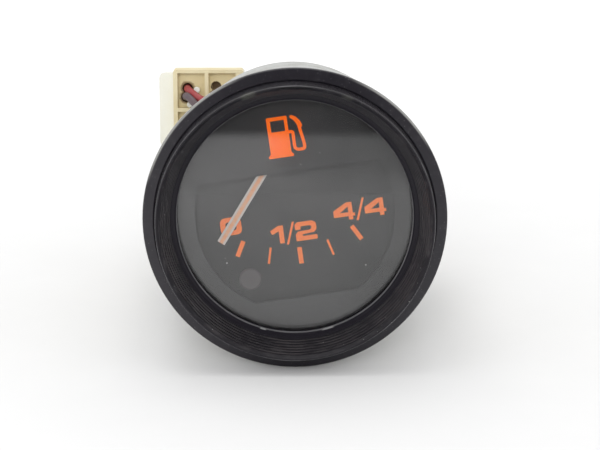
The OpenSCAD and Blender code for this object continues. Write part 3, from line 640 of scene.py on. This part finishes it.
def bent(corners, radius):
    """An open path with its inner corners rounded in the same way."""
    line = np.asarray(corners, float)
    side = np.diff(line, axis=0)
    length = np.linalg.norm(side, axis=1, keepdims=True)
    way = side / length
    reach = np.minimum(radius, np.minimum(length[:-1], length[1:]) * 0.49)
    inner = line[1:-1]
    bends = curve_corners(inner - way[:-1] * reach, inner, inner + way[1:] * reach, 9)
    return np.vstack([line[:1], bends, line[-1:]])


def stroke(path_points, width):
    """The outline of a band: each point of the path moved half the width to the left, then
    each moved as far to the right, in reverse. At a corner the shift is lengthened by
    1 / (1 + a.b), with a and b the normals of the two sides, so that both stay parallel."""
    line = np.asarray(path_points, float)
    along = np.diff(line, axis=0)
    along /= np.linalg.norm(along, axis=1, keepdims=True)
    normal = np.stack([-along[:, 1], along[:, 0]], axis=1)
    first, second = np.vstack([normal[:1], normal]), np.vstack([normal, normal[-1:]])
    shift = (first + second) / (1 + np.sum(first * second, axis=1, keepdims=True)) * width / 2
    return np.vstack([line + shift, (line - shift)[::-1]])


def signed_area(loop):
    """Half the sum of x y' - x' y over the sides: positive for a loop that runs left."""
    ahead = np.roll(loop, -1, axis=0)
    return 0.5 * np.sum(loop[:, 0] * ahead[:, 1] - ahead[:, 0] * loop[:, 1])


print("outline helpers ready")

# %% Ink
INK_THICKNESS = 0.03


def ink(name, shapes, depth, finish):
    """A printed layer: every shape is a list of loops, the outline and then its holes. The
    loops are filled with triangles in front, copied behind, and joined by walls."""
    points, faces, start = [], [], 0
    for shape in shapes:
        loops = []
        for i, loop in enumerate(np.asarray(loop, float) for loop in shape):
            runs_left = signed_area(loop) > 0
            loops.append(loop if runs_left == (i == 0) else loop[::-1])
        flat = np.vstack(loops)
        count = len(flat)
        filled = np.array(tessellate_polygon([[Vector((*p, 0)) for p in loop] for loop in loops]))
        a, b, c = (flat[filled[:, i]] for i in range(3))
        flipped = (b - a)[:, 0] * (c - a)[:, 1] - (b - a)[:, 1] * (c - a)[:, 0] < 0
        filled[flipped] = filled[flipped][:, ::-1]
        front = np.stack([flat[:, 0], np.full(count, depth - INK_THICKNESS), flat[:, 1]], axis=1)
        back = front + (0, INK_THICKNESS, 0)
        here = np.arange(count)
        ends = np.cumsum([len(loop) for loop in loops])
        ahead = np.concatenate([np.roll(run, -1) for run in np.split(here, ends[:-1])])
        walls = np.stack([here, here + count, ahead + count, ahead], axis=1)
        points += [front, back]
        faces += (filled + start).tolist() + (filled[:, ::-1] + start + count).tolist()
        faces += (walls + start).tolist()
        start += 2 * count
    made = piece_from(name, np.vstack(points) * MM, faces)
    made.data.materials.append(finish.material)
    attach(made, "gauge")


def orange_ink(name, pale, deep, glow):
    """A screen-printed orange: uneven, with pinholes. It has an emission of its own, a glow that
    paints light on it, so it sends back more orange than it receives."""
    made = Finish(name, roughness=0.6, Specular_IOR_Level=0.12)
    made.set("Emission Color", (*deep, 1))
    made.set("Emission Strength", glow)
    place = made.place()
    even = made.noise(place, 1.6, 4)
    pinholes = made.dots(place, 3.2, 0.1, 0.14)
    shade = made.mix(made.step(even, 0.35, 0.7), deep, pale)
    made.set("Base Color", made.mix(pinholes * 0.4, shade, (0.3, 0.07, 0.02)))
    made.set("Roughness", 0.5 + 0.2 * even)
    return made


mask_ink = orange_ink("mask_orange", (0.98, 0.185, 0.012), (0.93, 0.15, 0.008), 0.22)
scale_ink = orange_ink("scale_orange", (0.93, 0.235, 0.05), (0.87, 0.2, 0.038), 0.11)

# %% [markdown]
# The numerals are wide, heavy and upright, in a cell 3.6 mm high. Each is one outline, and the
# nought and the four have a second outline for their counter.

# %% Numerals
NOUGHT = [
    eased([(-15.27, -2.85), (-11.0, -2.85), (-11.0, 0.82), (-15.27, 0.82)], 1.25),
    eased([(-14.2, -1.88), (-12.05, -1.88), (-12.05, -0.12), (-14.2, -0.12)], 0.6),
]
ONE = [eased([
    (-3.8, -6.0), (-2.84, -6.0), (-2.76, -2.3), (-3.8, -2.3), (-5.5, -3.2), (-5.14, -4.02),
    (-3.76, -3.42),
], 0.14)]
TWO = [eased([
    (-0.42, -3.7), (-0.42, -2.55), (0.15, -2.12), (3.1, -2.12), (3.88, -2.62), (3.92, -3.9),
    (3.35, -4.55), (0.95, -4.72), (0.95, -5.08), (3.9, -5.08), (3.86, -6.02), (-0.45, -6.02),
    (-0.45, -4.6), (0.05, -4.05), (2.5, -3.95), (2.86, -3.72), (2.86, -3.22), (2.6, -3.05),
    (0.95, -3.05), (0.7, -3.2), (0.7, -3.7),
], 0.2)]
FOUR = [
    eased([
        (0, 0.75), (2.97, 0.73), (2.97, 0), (3.85, 0), (3.85, 0.7), (4.32, 0.7), (4.32, 1.33),
        (3.9, 1.33), (3.9, 3.6), (2.78, 3.6), (0, 2.1),
    ], 0.12),
    eased([(1.3, 1.55), (3.02, 1.55), (3.02, 2.72)], 0.1),
]
FOUR_PLACES = ((7.68, -3.12), (14.02, -3.12))
SLASHES = [
    [(-2.52, -6.37), (-2.06, -6.42), (-0.43, -1.9), (-0.88, -1.86)],
    [(12.1, -3.45), (12.58, -3.5), (14.18, 0.95), (13.75, 1.03)],
]
PLATE_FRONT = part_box("scale_plate")[0].y / MM
fours = [[loop + place for loop in FOUR] for place in FOUR_PLACES]
slashes = [[eased(loop, 0.1)] for loop in SLASHES]
ink("printed_numerals", [NOUGHT, ONE, TWO, *fours, *slashes], PLATE_FRONT, scale_ink)

# %% [markdown]
# The ticks point at one centre high on the dial, close to the needle's hidden pivot. Their
# angles are counted from straight down, and the end and half marks are twice as thick as the
# quarters.

# %% Ticks
TICK_CENTRE = np.array((0.0, 15.6))
TICKS = [(-29.05, 0.92), (-14.82, 0.45), (-0.25, 0.95), (14.5, 0.45), (28.7, 0.92)]
TICK_RADII = (22.86, 26.28)


def tick(degrees, width):
    """A stroke from the inner to the outer tick radius, at an angle from straight down."""
    way = np.array((sin(radians(degrees)), -cos(radians(degrees))))
    return [eased(stroke([TICK_CENTRE + radius * way for radius in TICK_RADII], width), 0.1)]


ink("printed_ticks", [tick(*one) for one in TICKS], PLATE_FRONT, scale_ink)

# %% [markdown]
# The common fuel pump sign has a body with a window, a base plate, a hose and a nozzle. It is
# printed on the mask, above the window, in a deeper orange than the scale's.

# %% Pump sign
PUMP_BODY = [
    eased([
        (-2.92, 12.62), (-3.4, 12.3), (-3.4, 11.82), (1.62, 11.82), (1.62, 12.3), (1.2, 12.62),
        (1.24, 20.0), (-2.92, 20.0),
    ], 0.3),
    eased([(-2.18, 17.02), (0.58, 17.02), (0.58, 19.26), (-2.18, 19.26)], 0.1),
]
HOSE_PATH = [
    (1.1, 16.72), (2.03, 16.72), (1.97, 12.98), (3.98, 12.98), (3.95, 14.2), (3.4, 17.5),
]
HOSE_WIDTH = 0.62
NOZZLE = [
    (1.72, 19.78), (2.1, 20.0), (2.98, 19.58), (3.76, 18.6), (4.1, 17.6), (3.68, 17.2),
    (3.17, 17.3), (2.96, 18.1), (2.4, 19.02), (1.86, 19.42),
]
MASK_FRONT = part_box("dial_mask")[0].y / MM
hose = [stroke(bent(HOSE_PATH, 0.95), HOSE_WIDTH)]
ink("printed_pump_sign", [PUMP_BODY, hose, [eased(NOZZLE, 0.22)]], MASK_FRONT, mask_ink)

# %% [markdown]
# ## Needle
# The needle is a strip of pale grey metal with an orange stripe along its middle. It could be
# a second layer of ink, but a colour that depends on the distance from the middle line does
# it. The strip lies turned by its rest angle about the pivot, so the coordinates are turned.

# %% Needle finish
PIVOT_HEIGHT = 15.2
NEEDLE_REST = radians(-39.2)
NEEDLE_HALF = 0.82
strip = Finish("needle_orange", roughness=0.5)
place = strip.place()
x, _, height = strip.parts(place)
across = x * cos(NEEDLE_REST) + (height - PIVOT_HEIGHT) * sin(NEEDLE_REST)
edge = strip.step(across.math("ABSOLUTE"), NEEDLE_HALF * 0.34, NEEDLE_HALF * 0.6)
worn = strip.noise(place, 1.4, 4)
stripe = strip.mix(strip.step(worn, 0.3, 0.7), (0.8, 0.35, 0.16), (0.75, 0.44, 0.27))
pale = strip.mix(worn, (0.55, 0.53, 0.52), (0.66, 0.61, 0.59))
strip.set("Base Color", strip.mix(edge * 0.92, stripe, pale))
strip.set("Roughness", 0.42 + 0.2 * worn)
dress(strip, "pointer")

# %% [markdown]
# ## Lamp lens
# The low-fuel lamp's lens is red, but clear red plastic needs light behind it to look red. As
# the lamp is out, a dull, greyish and slightly cloudy plastic is what one sees.

# %% Lamp lens
lens = Finish("lamp_lens", roughness=0.4)
place = lens.place()
cloudy = lens.noise(place, 1.0, 4)
lens.set("Base Color", lens.mix(cloudy, (0.07, 0.061, 0.063), (0.1, 0.09, 0.092)))
lens.set("Roughness", 0.3 + 0.3 * cloudy)
dress(lens, "warning_lens")

# %% [markdown]
# ## Bare and plated metals
# Metals differ by colour, by the direction of their tool marks and by how tarnish gathers.
# Their node trees would be the same, so one function makes them all: a Principled shader at
# full metallic, with marks from a noise that is stretched along one axis, and stains from a
# second, slow noise. The clamp is plated in yellow zinc, a film with green and pink tints that
# wears through to grey.


# %% Metal finishes
def tooled(name, colour, roughness, marks, marks_per_mm):
    """A metal with fine relief: its tool marks are noise on coordinates scaled by `marks`.
    Returns the finish, its place and the marks, for a colour and a gloss of their own."""
    made = Finish(name, colour, roughness, Metallic=1.0)
    place = made.place()
    tool = made.noise(made.stretch(place, marks), marks_per_mm, 3)
    made.bump(tool, 0.004, 0.5)
    return made, place, tool


def tarnish_on(finish, place, share):
    """Slow stains, which reach `share` where they are strongest."""
    return finish.step(finish.noise(place, 0.25, 5, 0.65), 0.42, 0.72) * share


def metal(name, bright, stained, roughness, marks, marks_per_mm, stain):
    """A metal that its tool marks darken a little and that tarnish stains."""
    made, place, tool = tooled(name, bright, roughness, marks, marks_per_mm)
    tarnish = tarnish_on(made, place, stain)
    clean = made.mix(tool, bright, [c * 0.82 for c in bright])
    made.set("Base Color", made.mix(tarnish, clean, stained))
    made.set("Roughness", roughness + 0.16 * tool + 0.25 * tarnish)
    return made


METALS = {
    # Pieces: name, bright and stained colour, roughness, tool marks, marks per mm, stain
    "case_can":
        ("case_zinc", (0.64, 0.65, 0.63), (0.42, 0.4, 0.36), 0.36, (1, 0.06, 1), 5, 0.5),
    "connector_bracket movement_frame":
        ("bracket_steel", (0.6, 0.61, 0.62), (0.4, 0.39, 0.36), 0.3, (1, 0.1, 1), 6, 0.3),
    "rear_screws scale_screws bracket_rivets stop_pins spindle":
        ("screw_steel", (0.68, 0.68, 0.69), (0.4, 0.38, 0.35), 0.25, (1, 1, 1), 8, 0.4),
    "knurled_nut scale_spacers balance_weight front_bearing rear_bearing movement_pillars":
        ("turned_brass", (0.76, 0.58, 0.3), (0.4, 0.29, 0.15), 0.28, (1, 6, 1), 3, 0.5),
    "terminal_blades terminal_rivets lead_receptacles crimp_terminals":
        ("blade_brass", (0.72, 0.56, 0.32), (0.36, 0.26, 0.15), 0.32, (1, 0.15, 1), 7, 0.5),
    "armature pole_cores":
        ("soft_iron", (0.4, 0.4, 0.41), (0.2, 0.15, 0.12), 0.45, (1, 1, 1), 4, 0.7),
    "spring_washer":
        ("washer_steel", (0.36, 0.36, 0.37), (0.2, 0.16, 0.13), 0.35, (1, 1, 1), 5, 0.7),
}
for pieces, how in METALS.items():
    dress(metal(*how), *pieces.split())

# %% Yellow zinc of the clamp
yellow, place, brushed = tooled("clamp_steel", (0.68, 0.58, 0.36), 0.3, (1, 0.08, 1), 6)
green = yellow.noise(place, 0.16, 3)
pink = yellow.noise(yellow.stretch(place, (-1, 1, 1)), 0.22, 3)
worn = yellow.step(yellow.noise(place, 0.5, 5, 0.7), 0.6, 0.72)
shade = yellow.over(
    yellow.mix(brushed, (0.7, 0.59, 0.35), (0.55, 0.45, 0.26)),
    (yellow.step(green, 0.42, 0.62) * 0.55, (0.5, 0.55, 0.33)),
    (yellow.step(pink, 0.46, 0.66) * 0.5, (0.68, 0.43, 0.36)),
    (worn * 0.6, (0.62, 0.61, 0.58)),
)
yellow.set("Base Color", shade)
yellow.set("Roughness", 0.2 + 0.22 * brushed + 0.12 * worn)
dress(yellow, "clamp_bracket")

# %% [markdown]
# ## Plastics and rubber
# Moulded plastics show a fine skin, slight sink and flow, and dirt that collects in corners.
# As with the metals, one function makes them all, and gives back its shade so that more can be
# laid over it. The connector is two nylons: a cream one that has yellowed, and a white one
# behind it.


# %% Plastic finishes
def plastic(name, clean, dirty, roughness, grain_per_mm=5.0, dirt=0.35):
    """A moulded plastic: fine grain in the gloss, and dirt from a slow noise. Returns the
    finish, its place and its shade."""
    made = Finish(name, clean, roughness)
    place = made.place()
    grain = made.noise(place, grain_per_mm, 2)
    flow = made.noise(place, 0.22, 5, 0.65)
    soiled = made.step(flow, 0.4, 0.75) * dirt
    spots = made.dots(place, 0.7, 0.1, 0.12)
    shade = made.mix(soiled, made.mix(grain, clean, [c * 0.94 for c in clean]), dirty)
    shade = made.mix(spots * 0.5, shade, [c * 0.55 for c in dirty])
    made.set("Base Color", shade)
    made.set("Roughness", roughness + 0.12 * grain + 0.15 * soiled)
    made.bump(grain, 0.006, 0.5)
    return made, place, shade


white = plastic("white_nylon", (0.82, 0.825, 0.765), (0.72, 0.71, 0.6), 0.4, 3, 0.35)[0]
dress(white, "socket_shell")
holder_black = plastic("holder_black", (0.02, 0.02, 0.022), (0.05, 0.048, 0.045), 0.4)[0]
dress(holder_black, "illumination_holder", "warning_holder", "pointer_hub", "warning_tube")
phenolic = plastic("phenolic", (0.15, 0.075, 0.035), (0.07, 0.04, 0.022), 0.45)[0]
dress(phenolic, "terminal_insulators", "coil_bobbins")
light_white = plastic("white_plastic", (0.8, 0.79, 0.74), (0.62, 0.58, 0.46), 0.5)[0]
dress(light_white, "light_box")
seal = plastic("seal_rubber", (0.025, 0.025, 0.025), (0.06, 0.058, 0.055), 0.75, 8)[0]
dress(seal, "glass_seal")

# %% [markdown]
# The cream block has pockets with holes in their floors. The floors are painted browner, for
# dirt and as painted shade in the recess, and a dark stain lies round each hole, wider where a
# lead goes in. The top is painted darker, as painted shade. A noise alone would put dirt
# anywhere. The places of the holes are known, so the stain depends on the distance from the
# nearest one, and a noise makes its edge ragged.

# %% Cream nylon
LEAD_HOLES = ((-24.35, 18.25), (-24.65, 16.2))
SPARE_HOLES = (
    (-17.7, 18.65), (-18, 16.6), (-17.7, 9.65), (-18, 7.6), (-24.35, 9.25), (-24.65, 7.2),
)
LEAD_STAIN, SPARE_STAIN = (2.35, 1.75), (1.8, 1.45)
POCKET_FLOOR = 62.7
TOP_SHADE = (22.2, 23.6)

yellowed, browned = (0.75, 0.665, 0.435), (0.62, 0.49, 0.25)
cream, place, shade = plastic("cream_nylon", yellowed, browned, 0.42, 3, 0.4)
aside, above = upright_pair(cream, place)
_, depth, _ = cream.parts(place)
ragged = cream.noise(place, 1.3, 4) * 0.9
stained = 0
for holes, edges in ((LEAD_HOLES, LEAD_STAIN), (SPARE_HOLES, SPARE_STAIN)):
    for hole in holes:
        off_aside, off_above = aside - hole[0], above - hole[1]
        away = (off_aside * off_aside + off_above * off_above).math("SQRT") + ragged
        stained = cream.step(away, *edges).math("MAXIMUM", stained)
deep = cream.step(depth, POCKET_FLOOR - 1.2, POCKET_FLOOR - 0.3)
in_pocket = deep * cream.step(depth, POCKET_FLOOR + 0.9, POCKET_FLOOR + 0.7)
shade = cream.over(
    shade,
    # The pocket floors browner: dirt and painted shade in the recess.
    (in_pocket * 0.55, (0.68, 0.57, 0.3)),
    (stained * deep * 0.85, (0.16, 0.085, 0.035)),
    # Painted shade: darker near the top.
    (cream.step(above, *TOP_SHADE) * 0.5, (0.6, 0.5, 0.26)),
)
cream.set("Base Color", shade)
dress(cream, "plug_housing")

# %% [markdown]
# ## Bulbs and windings
# Both are inside the case. The bulbs are clear glass. The windings are turns of enamelled
# copper, and a wave across the coil's axis stands for hundreds of wires.

# %% Bulb glass and enamelled wire
bulb = Finish("bulb_glass", (0.95, 0.96, 0.95), 0.05, Alpha=0.35)
place = bulb.place()
wall = bulb.noise(place, 0.8, 3)
bulb.set("Roughness", 0.04 + 0.1 * wall)
bulb.set("Base Color", bulb.mix(wall, (0.9, 0.91, 0.9), (0.98, 0.98, 0.97)))
dress(bulb, "illumination_bulb", "warning_bulb")

COIL_ANGLE = radians(45)
WIRES_PER_MM = 4.0
wire = Finish("enamel_wire", (0.55, 0.2, 0.07), 0.3, Metallic=0.6, Coat_Weight=0.5)
x, _, height = wire.parts(wire.place())
along = x.math("ABSOLUTE") * sin(COIL_ANGLE) - (height - PIVOT_HEIGHT) * cos(COIL_ANGLE)
turns = (along * (2 * pi * WIRES_PER_MM)).math("SINE") * 0.5 + 0.5
wire.set("Base Color", wire.mix(turns, (0.22, 0.07, 0.025), (0.6, 0.24, 0.09)))
wire.set("Roughness", 0.25 + 0.2 * turns)
wire.bump(turns, 0.08)
dress(wire, "coil_windings")

# %% [markdown]
# ## Leads
# Two thin leads in soft plastic run from the terminals to the plug. Both ends are held by
# housings that don't move, so they need no simulation: each is a tube swept along a route
# close to the CAD model's own lead, crossing in front of the plug as in the photograph. The
# route is a smooth curve through points, and round it runs a circle that stays square to it.

# %% Lead routes
RED_ROUTE = [
    (-24.35, 66, 18.25), (-24.35, 64, 18.25), (-24.35, 62.6, 18.2), (-24.2, 61.3, 18.15),
    (-23.65, 60.1, 17.85), (-22.8, 59.0, 17.35), (-21.7, 57.8, 16.7), (-20.2, 56.6, 16.1),
    (-18, 55.8, 15.6), (-15.5, 55.8, 15.2), (-13, 55.8, 14.9), (-11, 55.8, 14.7),
    (-9.5, 55.8, 14.5), (-8, 55.8, 14.5), (-6.7, 55.8, 14.5), (-5.5, 55.8, 14.5),
]
DARK_ROUTE = [
    (-24.65, 66, 16.2), (-24.65, 64, 16.2), (-24.65, 62.5, 16.25), (-24.65, 61.0, 16.5),
    (-24.5, 59.6, 16.85), (-24.0, 58.3, 16.8), (-23.1, 57.2, 16.1), (-22.0, 56.4, 15.0),
    (-20.6, 56.0, 13.6), (-18.6, 55.8, 12.0), (-16, 55.8, 10.4), (-13.6, 55.8, 9.2),
    (-11.4, 55.8, 8.4), (-9.2, 55.8, 8), (-7.2, 55.8, 8), (-5.5, 55.8, 8),
]
LEAD_RADIUS = 0.85


def smooth(points, between=6):
    """A curve through the points: between p1 and p2 it is half of 2 p1 + (p2 - p0) t
    + (2 p0 - 5 p1 + 4 p2 - p3) t^2 + (3 p1 - p0 - 3 p2 + p3) t^3."""
    ends = 2 * points[0] - points[1], 2 * points[-1] - points[-2]
    padded = np.vstack([ends[0], points, ends[1]])
    p0, p1, p2, p3 = (padded[i : len(padded) - 3 + i, None] for i in range(4))
    t = np.linspace(0, 1, between, endpoint=False)[None, :, None]
    bend = (2 * p0 - 5 * p1 + 4 * p2 - p3) * t**2 + (3 * p1 - p0 - 3 * p2 + p3) * t**3
    return np.vstack([((2 * p1 + (p2 - p0) * t + bend) / 2).reshape(-1, 3), points[-1:]])


def tube(name, centre, radius, sides=20):
    """A tube: centre + r (cos a * across + sin a * other), with both ends closed by a face."""
    along = np.gradient(centre, axis=0)
    along /= np.linalg.norm(along, axis=1, keepdims=True)
    across = np.cross(along, (0.1, 0.2, 1.0))
    across /= np.linalg.norm(across, axis=1, keepdims=True)
    other = np.cross(along, across)
    a = np.linspace(0, 2 * pi, sides, endpoint=False)
    ring = np.cos(a)[None, :, None] * across[:, None] + np.sin(a)[None, :, None] * other[:, None]
    points = centre[:, None] + radius * ring
    index = np.arange(len(centre) * sides).reshape(-1, sides)
    ahead = np.roll(index, -1, axis=1)
    quads = np.stack([index[:-1], ahead[:-1], ahead[1:], index[1:]], axis=-1).reshape(-1, 4)
    faces = [*quads.tolist(), index[0, ::-1].tolist(), index[-1].tolist()]
    made = piece_from(name, points.reshape(-1, 3) * MM, faces)
    made.data.polygons.foreach_set("use_smooth", [len(face) == 4 for face in faces])
    return made


def lead(name, route, node, clean, dirty):
    """A lead that stands for the CAD model's plain one, in dusty soft plastic."""
    centre = smooth(upright(route))
    made = tube(name, centre, LEAD_RADIUS)
    sheath = plastic(name + "_sheath", clean, dirty, 0.42, 4, 0.6)[0]
    made.data.materials.append(sheath.material)
    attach(made, "gauge")
    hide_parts(node)
    length = np.linalg.norm(np.diff(centre, axis=0), axis=1).sum()
    print(name, "is", round(length, 1), "mm long")


red, dull_red = (0.31, 0.035, 0.04), (0.3, 0.12, 0.11)
lead("red_wire", RED_ROUTE, "red_lead", red, dull_red)
dark, dusty_dark = (0.1, 0.07, 0.08), (0.19, 0.145, 0.145)
lead("dark_wire", DARK_ROUTE, "black_lead", dark, dusty_dark)

# %% [markdown]
# ## Pegs in the plug's pocket
# Beside the two leads two small white pegs show in the cream block's pocket, the ends of the
# white shell's catches. Each is a turned form: a profile with a round corner, carried round.

# %% White pegs
PEGS = {"white_peg_high": (-22.15, 17.95), "white_peg_low": (-23.75, 14.55)}
PEG_RADIUS, PEG_CORNER = 0.75, 0.25
PEG_STAND, PEG_LENGTH = 1.3, 0.8
AXIS_RADIUS = 0.001


def turned_form(name, radii, depths, centre, sides=32):
    """A surface of revolution about a line along the depth: centre + r (cos a, sin a)."""
    angles = np.linspace(0, 2 * pi, sides, endpoint=False)
    r, depth, a = np.broadcast_arrays(radii, np.asarray(depths)[:, None], angles)
    grid = np.stack([centre[0] + r * np.cos(a), depth, centre[1] + r * np.sin(a)], axis=-1)
    made = surface(name, upright(grid) * MM, around=True)
    made.data.polygons.foreach_set("use_smooth", [True] * len(made.data.polygons))
    return made


quarter = np.linspace(0, pi / 2, 7)
corner = PEG_RADIUS - PEG_CORNER + PEG_CORNER * np.sin(quarter)
peg_radii = np.concatenate([[AXIS_RADIUS], corner, [PEG_RADIUS, AXIS_RADIUS]])
down = np.concatenate([[0], PEG_CORNER * (1 - np.cos(quarter)), [PEG_LENGTH, PEG_LENGTH]])
for name, centre in PEGS.items():
    peg = turned_form(name, peg_radii[:, None], POCKET_FLOOR - PEG_STAND + down, centre)
    peg.data.materials.append(white.material)
    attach(peg, "gauge")

# %% [markdown]
# ## Thread of the clamp stud
# The CAD stud is a plain rod of the thread's outer diameter. A bump map would leave its
# outline straight, so the thread is a shape. It is a helix: going round by a full turn moves
# the ridge along by one pitch. So the radius at any point is the outer one less a triangle
# wave of the depth, in units of the pitch, minus the share of a turn. The same wave tells the
# finish where the valleys are, and they are painted dark: old grease, and painted shade.

# %% Threaded stud
STUD_CENTRE = (0.0, -2.45)
STUD_OUTER, STUD_HEAD, HEAD_THICKNESS = 2.5, 5.0, 2
THREAD_PITCH, THREAD_DEPTH, THREAD_FADE = 0.8, 0.42, 0.6


def threaded_stud(name, front, start, end, sides=48, per_turn=14):
    """Radius(y, a) = outer - depth * |triangle wave of y / pitch - a / 2 pi|, with a plain
    head from `front` to `start`. The thread fades in behind it and ends at the core."""
    rod = np.arange(start, end + 1e-6, THREAD_PITCH / per_turn)
    a = np.linspace(0, 2 * pi, sides, endpoint=False)
    phase = (rod[:, None] / THREAD_PITCH - a[None, :] / (2 * pi)) % 1
    valley = np.abs(2 * phase - 1)
    fade_in = np.clip((rod - start) / THREAD_FADE, 0, 1)[:, None]
    run_out = np.clip((rod - end + THREAD_FADE) / THREAD_FADE, 0, 1)[:, None] * THREAD_DEPTH
    reach = STUD_OUTER - np.maximum(THREAD_DEPTH * valley * fade_in, run_out)
    plain = np.array([AXIS_RADIUS, STUD_HEAD, STUD_HEAD, STUD_OUTER])
    radii = np.vstack([np.tile(plain[:, None], sides), reach, np.full(sides, AXIS_RADIUS)])
    depths = np.concatenate([[front, front, start, start], rod, rod[-1:]])
    return turned_form(name, radii, depths, STUD_CENTRE, sides)


head_start, stud_end = (end.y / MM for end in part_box("mounting_stud"))
head_end = head_start + HEAD_THICKNESS
stud = threaded_stud("threaded_stud", head_start, head_end, stud_end)

# %% Stud finish
cut, place, tool = tooled("stud_steel", (0.66, 0.6, 0.44), 0.26, (1, 1, 1), 8)
aside, above = upright_pair(cut, place)
_, depth, _ = cut.parts(place)
turn_share = (above - STUD_CENTRE[1]).math("ARCTAN2", aside - STUD_CENTRE[0]) / (2 * pi)
wave = (depth / THREAD_PITCH - turn_share).math("FRACT")
behind_head = cut.step(depth, head_end, head_end + THREAD_FADE)
valley = (wave * 2 - 1).math("ABSOLUTE") * behind_head
# Painted dark in the valleys: grease, and painted shade.
grease_and_shade = cut.step(valley, 0.35, 0.95) * (0.35 + 0.5 * cut.noise(place, 0.7, 3))
cut.set("Base Color", cut.mix(grease_and_shade, (0.66, 0.6, 0.44), (0.09, 0.07, 0.045)))
cut.set("Roughness", 0.26 + 0.16 * tool + 0.25 * tarnish_on(cut, place, 0.3))
stud.data.materials.append(cut.material)
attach(stud, "gauge")
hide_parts("mounting_stud")
print("stud finish:", len(cut.tree.nodes), "nodes")
